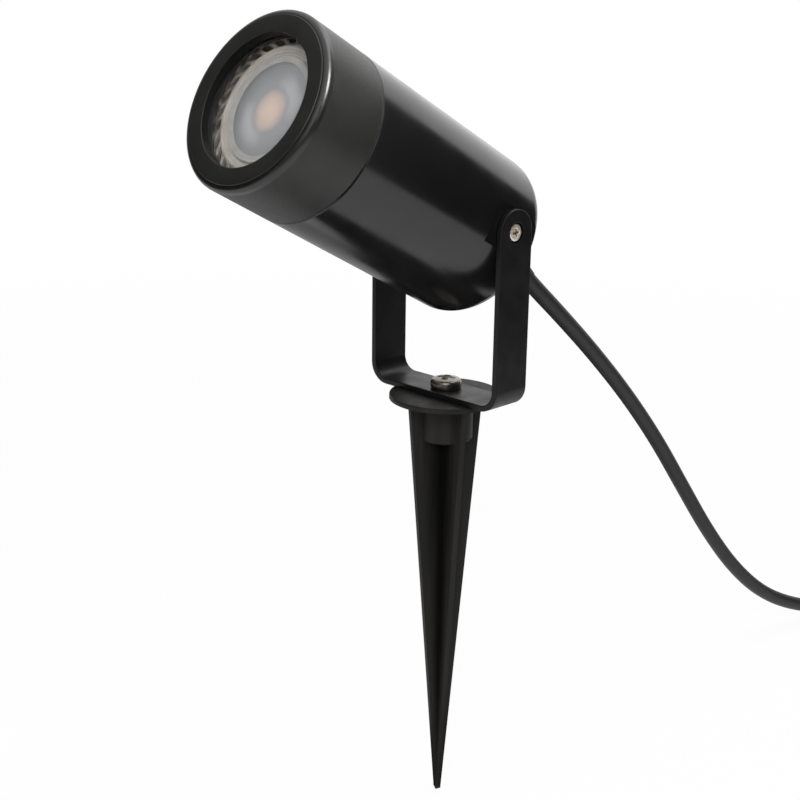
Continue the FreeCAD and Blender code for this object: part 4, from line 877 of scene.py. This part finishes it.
def screw_head(sizes, place, verts, faces, recess):
    """Adds a domed screw with a cross recess to a mesh: seat at zero, thread down, in millimetres."""
    radius, height, shank, length = sizes
    arm, slot, depth = radius * 0.6, radius * 0.17, height * 0.55
    rows, steps = 40, 160
    first = len(verts)
    shoulder = (0.8 * radius, 0.84 * height)
    widest = (radius, 0.4 * height)
    outline = [(0.8 * radius * i / rows, height * (1 - 0.16 * (i / rows) ** 2)) for i in range(1, rows + 1)]
    outline += bend(shoulder, (0.99 * radius, 0.77 * height), widest, 10)
    outline += bend(widest, (radius, 0.1 * height), (0.93 * radius, 0.0), 8)
    outline += [(shank, -0.02), (shank, -length), (shank * 0.7, -length - 0.4)]
    sunk = set()
    for i, (reach, level) in enumerate(outline):
        for k in range(steps):
            angle = 2 * math.pi * k / steps
            x, y = reach * math.cos(angle), reach * math.sin(angle)
            wide, narrow = max(abs(x), abs(y)), min(abs(x), abs(y))
            inside = min((arm - wide) / (radius * 0.16), (slot - narrow) / (radius * 0.05) + 0.5)
            share = min(1, max(0, inside)) if i < rows else 0
            if share > 0.6:
                sunk.add(len(verts))
            sink = depth * (1 - 0.45 * wide / arm) * share
            verts.append(place @ (Vector((x, y, level - sink)) * MM))
    rings = [range(first + i * steps, first + (i + 1) * steps) for i in range(len(outline))]
    for a, b, c, d in bands(rings):
        if sunk.issuperset((a, b, c, d)):
            recess.append(len(faces))
        faces.append((a, d, c, b))
    recess.append(len(faces))
    faces += [tuple(rings[0]), tuple(reversed(rings[-1]))]


def screw_piece(name, sizes, places, body, finishes):
    """A piece of one or more screws, with a second material in the recess, which darkens it as painted
    shade.
    """
    verts, faces, recess = [], [], []
    for place in places:
        screw_head(sizes, place, verts, faces, recess)
    piece = mesh_piece(name, verts, faces, body, finishes[0], crease=1.2)
    piece.data.materials.append(finishes[1])
    for index in recess:
        piece.data.polygons[index].material_index = 1
    return piece


class SPOTLIGHT_OT_head(bpy.types.Operator):
    """Adds the turned front cap with its seam and sealed opening, and the screw heads."""

    bl_idname = "spotlight.head"
    bl_label = "Cap and screws"

    def execute(self, context):
        finish = context.scene.spotlight_finish
        head = context.scene.spotlight_head
        outer, opening = head.cap_radius / MM, head.opening_radius / MM
        spigot, ring_groove, bore, clip_groove = 27.7, 26.5, 25.7, 26.2
        cap = lathe("front_cap_shell", rounded([
            (opening, CAP_FRONT, 0.3),
            (outer - 2.3, CAP_FRONT, 0.15),
            (outer - 2.1, CAP_FRONT - 0.2, 0.1),
            (outer, CAP_FRONT - 0.3, head.cap_round / MM),
            (outer, CAP_FRONT - 2.9, 0.0),
            (outer, CAP_SEAM + 0.75, 0.1),
            (outer - 0.12, CAP_SEAM + 0.4, 0.1),
            (outer - 0.45, CAP_SEAM + 0.1, 0.1),
        ], 8) + [
            (spigot, 74.5), (spigot, 73.6), (ring_groove, 73.6), (ring_groove, 72.2), (spigot, 72.2),
            (spigot, 64.5), (bore, 64.5), (bore, 92.3), (clip_groove, 92.3), (clip_groove, 93.6),
            (bore, 93.6), (bore, 97.3), (opening, 97.3),
        ], "cap", matt_cap(finish), steps=192)
        cap.data.materials.append(shaded_bore(finish))
        cap.data.materials.append(rubbed_edge_painted_shade(finish))
        # The opening's wall and the front edge take their own materials, both darkened as painted shade.
        opening_wall, front_edge = 1, 2
        back = HEAD.inverted()
        for face in cap.data.polygons:
            place = back @ face.center
            reach = math.hypot(place.x, place.y)
            if reach < (opening + 0.15) * MM and place.z < (CAP_FRONT - 0.12) * MM:
                face.material_index = opening_wall
            elif reach > (outer - 2.1) * MM and place.z > (CAP_FRONT - 2.6) * MM:
                face.material_index = front_edge
        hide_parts("front_cap")
        # The pivot screws' pale colour, with metallic lowered to 0.72, is partly the nickel's tint and
        # partly a painted highlight that keeps the heads bright.
        nickel = metal("pivot_screw_nickel", (1.0, 0.9, 0.8), 0.27, 4.0)
        shader_of(nickel).inputs["Metallic"].default_value = 0.72
        steel = metal("base_screw_nickel", (0.3, 0.273, 0.246), 0.33, 6.0)
        # Painted shade: dark brown metal in the cross recesses.
        shaded = metal("screw_recess_painted_shade", (0.2, 0.13, 0.07), 0.45)
        shader_of(shaded).inputs["Metallic"].default_value = 0.7
        places = [
            Matrix.Translation((side * BRACKET_SEAT.x, 0, PIVOT.z))
            @ Matrix.Rotation(side * math.pi / 2, 4, "Y")
            @ Matrix.Rotation(PIVOT_SCREW_TURN, 4, "Z")
            for side in (1, -1)]
        pivots = screw_piece("pivot_screw_pair", PIVOT_SCREW, places, "head", (nickel, shaded))
        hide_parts("pivot_screws")
        places = [Matrix.Translation((0, 0, BRACKET_SEAT.z)) @ Matrix.Rotation(BASE_SCREW_TURN, 4, "Z")]
        base = screw_piece("base_pan_screw", BASE_SCREW, places, "spike", (steel, shaded))
        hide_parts("base_screw")
        return {"FINISHED"}


# ---- Lamp ----


def lamp_outline(radius, corners):
    """An outline from (outward, back, rounding) corners, counted from a radius and the lamp's front."""
    return rounded([(radius + outward, LAMP_FRONT - back, arc) for outward, back, arc in corners], 4)


def vented_skirt(lamp, body, finish):
    """The lamp's outer skirt: a sloping ring pierced by slanted oval windows."""
    inner, outer = 20.9, lamp.rim_radius / MM - 0.7
    top, low, thick, bulge = LAMP_FRONT - 0.4, LAMP_FRONT - 0.7, 1.2, 0.25
    count, rows, columns = lamp.window_count, 14, 4
    pitch = 2 * math.pi / count
    widest = lamp.window_width / MM / 2 / ((inner + outer) / 2)
    verts, faces = [], []
    for spoke in range(count):
        first = len(verts)
        for i in range(rows + 1):
            share = i / rows
            radius = inner + (outer - inner) * share
            height = top + (low - top) * share
            opening = widest * math.sqrt(max(0, 1 - (2 * share - 1) ** 2)) ** 0.8
            start = spoke * pitch + opening
            end = (spoke + 1) * pitch - opening
            for lift in (0, -thick):
                for j in range(columns + 1):
                    across = start + (end - start) * j / columns
                    crown = bulge * (1 - (2 * j / columns - 1) ** 2) if lift == 0 else 0
                    angle = across + lamp.window_slant * (share - 0.5)
                    verts.append((radius * MM * math.cos(angle), radius * MM * math.sin(angle),
                                  (height + lift + crown - bulge) * MM))
        per_row = 2 * (columns + 1)
        for i in range(rows):
            here, ahead = first + i * per_row, first + (i + 1) * per_row
            for j in range(columns):
                faces.append((here + j, here + j + 1, ahead + j + 1, ahead + j))
                back, on = here + columns + 1 + j, ahead + columns + 1 + j
                faces.append((back, on, on + 1, back + 1))
            for j in (0, columns):
                faces.append((here + j, ahead + j, ahead + columns + 1 + j, here + columns + 1 + j))
    return mesh_piece("lamp_vented_skirt", verts, faces, body, finish, crease=0.9, place=HEAD)


class SPOTLIGHT_OT_lamp(bpy.types.Operator):
    """Adds the lamp's ridged cream bezel, vented skirt and diffusing lens."""

    bl_idname = "spotlight.lamp"
    bl_label = "Lamp"

    def execute(self, context):
        lamp = context.scene.spotlight_lamp
        lens, rim, front = lamp.lens_radius / MM, lamp.rim_radius / MM, LAMP_FRONT
        bezel = lathe("lamp_bezel_ring", lamp_outline(lens, [
            (2.2, 0.8, 0.1), (2.85, 0.75, 0.15), (3.05, 0.35, 0.15), (3.55, 0.3, 0.15),
            (3.75, 0.55, 0.1), (3.95, 0.1, 0.15), (4.6, 0.02, 0.3), (5.3, 0.35, 0.4),
            (5.45, 2.0, 0.3), (4.4, 2.2, 0.1), (2.2, 1.9, 0.1),
        ]), "lamp", cream_bezel(lamp))
        retainer = lathe("lamp_lens_retainer", lamp_outline(lens, [
            (-0.35, 0.64, 0.02), (-0.25, 0.4, 0.1), (0.4, 0.3, 0.3), (1.3, 0.2, 0.3), (1.5, 0.02, 0.15),
            (1.85, 0.02, 0.15), (2.15, 0.4, 0.1), (2.15, 1.9, 0.1), (0.1, 1.9, 0.1), (0.1, 0.8, 0.05),
        ]), "lamp", lens_retainer(lamp))
        skirt = vented_skirt(lamp, "lamp", skirt_plastic_painted_shade(lamp))
        # The rim band shares the skirt's plastic and its painted shade.
        band = lathe("lamp_rim_band", lamp_outline(rim, [
            (-1.0, 0.95, 0.1), (-0.7, 0.75, 0.15), (-0.1, 0.9, 0.3), (-0.1, 4.15, 0.05), (-1.0, 4.15, 0.05),
        ]), "lamp", skirt.data.materials[0])
        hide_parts("lamp_bezel")
        # Painted shade: a near-black ring under the vent windows stands for the shade inside the lamp.
        vent_shade_ring = lathe("lamp_vent_shade_ring", [
            (lens + 3.6, front - 5.2), (rim - 1.3, front - 5.2),
            (rim - 1.3, front - 4.9), (lens + 3.6, front - 4.9),
        ], "lamp", plain("vent_ring_painted_shade", (0.012, 0.011, 0.01), 0.7))
        shares = (0.2, 0.4, 0.6, 0.75, 0.86, 0.94, 0.98)
        disc = lathe("lamp_lens_disc", [(0, front - 0.2)] + [
            (lens * share, front - 0.2 - 0.5 * share ** 4) for share in shares
        ] + rounded([
            (lens, front - 0.75, 0.2), (lens, front - 2.4, 0.05), (lens - 1, front - 2.4, 0.0),
        ], 3) + [(0, front - 2.4)], "lamp", diffusing_lens(lamp))
        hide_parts("lamp_lens")
        return {"FINISHED"}


# ---- Finishes of the nodes ----


class SPOTLIGHT_OT_finishes(bpy.types.Operator):
    """Gives each CAD node its finish."""

    bl_idname = "spotlight.finishes"
    bl_label = "Finishes"

    def execute(self, context):
        finish = context.scene.spotlight_finish
        steel = metal("bright_stainless", (0.62, 0.6, 0.57), 0.22)
        zinc = metal("zinc_plate", (0.55, 0.55, 0.56), 0.35)
        brass = metal("turned_brass", (0.75, 0.55, 0.24), 0.3)
        seal = plain("black_seal_rubber", (0.012, 0.012, 0.012), 0.6)
        nylon = plain("black_nylon", (0.014, 0.014, 0.015), 0.45)
        white = plain("white_lamp_plastic", (0.7, 0.69, 0.64), 0.4)
        cream = plain("cream_bezel_plastic", (0.52, 0.48, 0.4), 0.35)
        ceramic = plain("holder_ceramic", (0.76, 0.74, 0.68), 0.6)
        brown, blue, green = (0.13, 0.045, 0.015), (0.02, 0.12, 0.42), (0.2, 0.38, 0.03)
        sleeve = (0.75, 0.75, 0.72)
        finishes = {
            "spike": moulded_spike(finish), "spike_insert": brass, "base_screw": steel,
            "u_bracket": satin_bracket(finish), "pivot_screws": steel,
            "body_housing": gloss_housing(finish), "front_cap": matt_cap(finish), "cap_o_ring": seal,
            "lens_clip": steel, "lens_glass": clear_glass(), "lens_gasket": seal,
            "lamp_bezel": cream, "lamp_lens": plain("diffusing_lens", (0.42, 0.45, 0.48), 0.3),
            "lamp_shell": white, "lamp_board": zinc, "lamp_chip": plain("phosphor", (0.8, 0.62, 0.3), 0.5),
            "lamp_base": white, "lamp_driver": plain("driver_board", (0.03, 0.18, 0.07), 0.4),
            "lamp_pins": steel, "lamp_holder": ceramic, "holder_contacts": brass, "holder_strap": zinc,
            "holder_screws": zinc, "strap_screws": zinc, "earth_screw": brass,
            "terminal_block": plain("natural_nylon", (0.7, 0.7, 0.63), 0.45), "terminal_clamps": brass,
            "terminal_screws": zinc, "live_wire": plain("glass_sleeve", sleeve, 0.7),
            "neutral_wire": plain("glass_sleeve_neutral", sleeve, 0.7),
            "core_live": plain("brown_core", brown, 0.45), "core_neutral": plain("blue_core", blue, 0.45),
            "core_earth": plain("green_core", green, 0.45), "earth_lug": brass,
            "gland_washer": seal, "gland_body": nylon, "gland_seal": seal, "gland_nut": nylon,
            "gland_locknut": nylon,
            "cord_tail": plain("lead_tail_sheath", finish.lead_colour, 0.5, 0.5, 0.02),
            "cord_tie": nylon, "end_live": plain("brown_end", brown, 0.45),
            "end_neutral": plain("blue_end", blue, 0.45), "end_earth": plain("green_end", green, 0.45),
            "end_ferrules": metal("tinned_ferrule", (0.6, 0.6, 0.6), 0.35),
        }
        for node, material in finishes.items():
            dress(node, material)
        return {"FINISHED"}


class SPOTLIGHT_PT_panel(bpy.types.Panel):
    """Lists the operators that build the spotlight."""

    bl_idname = "SPOTLIGHT_PT_panel"
    bl_label = "Garden spike spotlight"
    bl_space_type = "VIEW_3D"
    bl_region_type = "UI"
    bl_category = "Spotlight"

    def draw(self, context):
        for operator in OPERATORS:
            self.layout.operator(operator.bl_idname)


OPERATORS = (
    SPOTLIGHT_OT_stage, SPOTLIGHT_OT_finishes, SPOTLIGHT_OT_head, SPOTLIGHT_OT_lead, SPOTLIGHT_OT_lamp)
GROUPS = {
    "spotlight_finish": SpotlightFinish, "spotlight_head": SpotlightHead,
    "spotlight_lamp": SpotlightLamp, "spotlight_lead": SpotlightLead,
}


def register():
    for group in GROUPS.values():
        bpy.utils.register_class(group)
    for name, group in GROUPS.items():
        setattr(bpy.types.Scene, name, PointerProperty(type=group))
    for operator in OPERATORS:
        bpy.utils.register_class(operator)
    bpy.utils.register_class(SPOTLIGHT_PT_panel)


def unregister():
    bpy.utils.unregister_class(SPOTLIGHT_PT_panel)
    for operator in reversed(OPERATORS):
        bpy.utils.unregister_class(operator)
    for name, group in reversed(GROUPS.items()):
        delattr(bpy.types.Scene, name)
        bpy.utils.unregister_class(group)


def main():
    register()
    bpy.context.scene.view_settings.view_transform = "Standard"
    bpy.ops.spotlight.stage()
    bpy.ops.spotlight.finishes()
    bpy.ops.spotlight.head()
    bpy.ops.spotlight.lead()
    bpy.ops.spotlight.lamp()


if __name__ == "__main__":
    main()
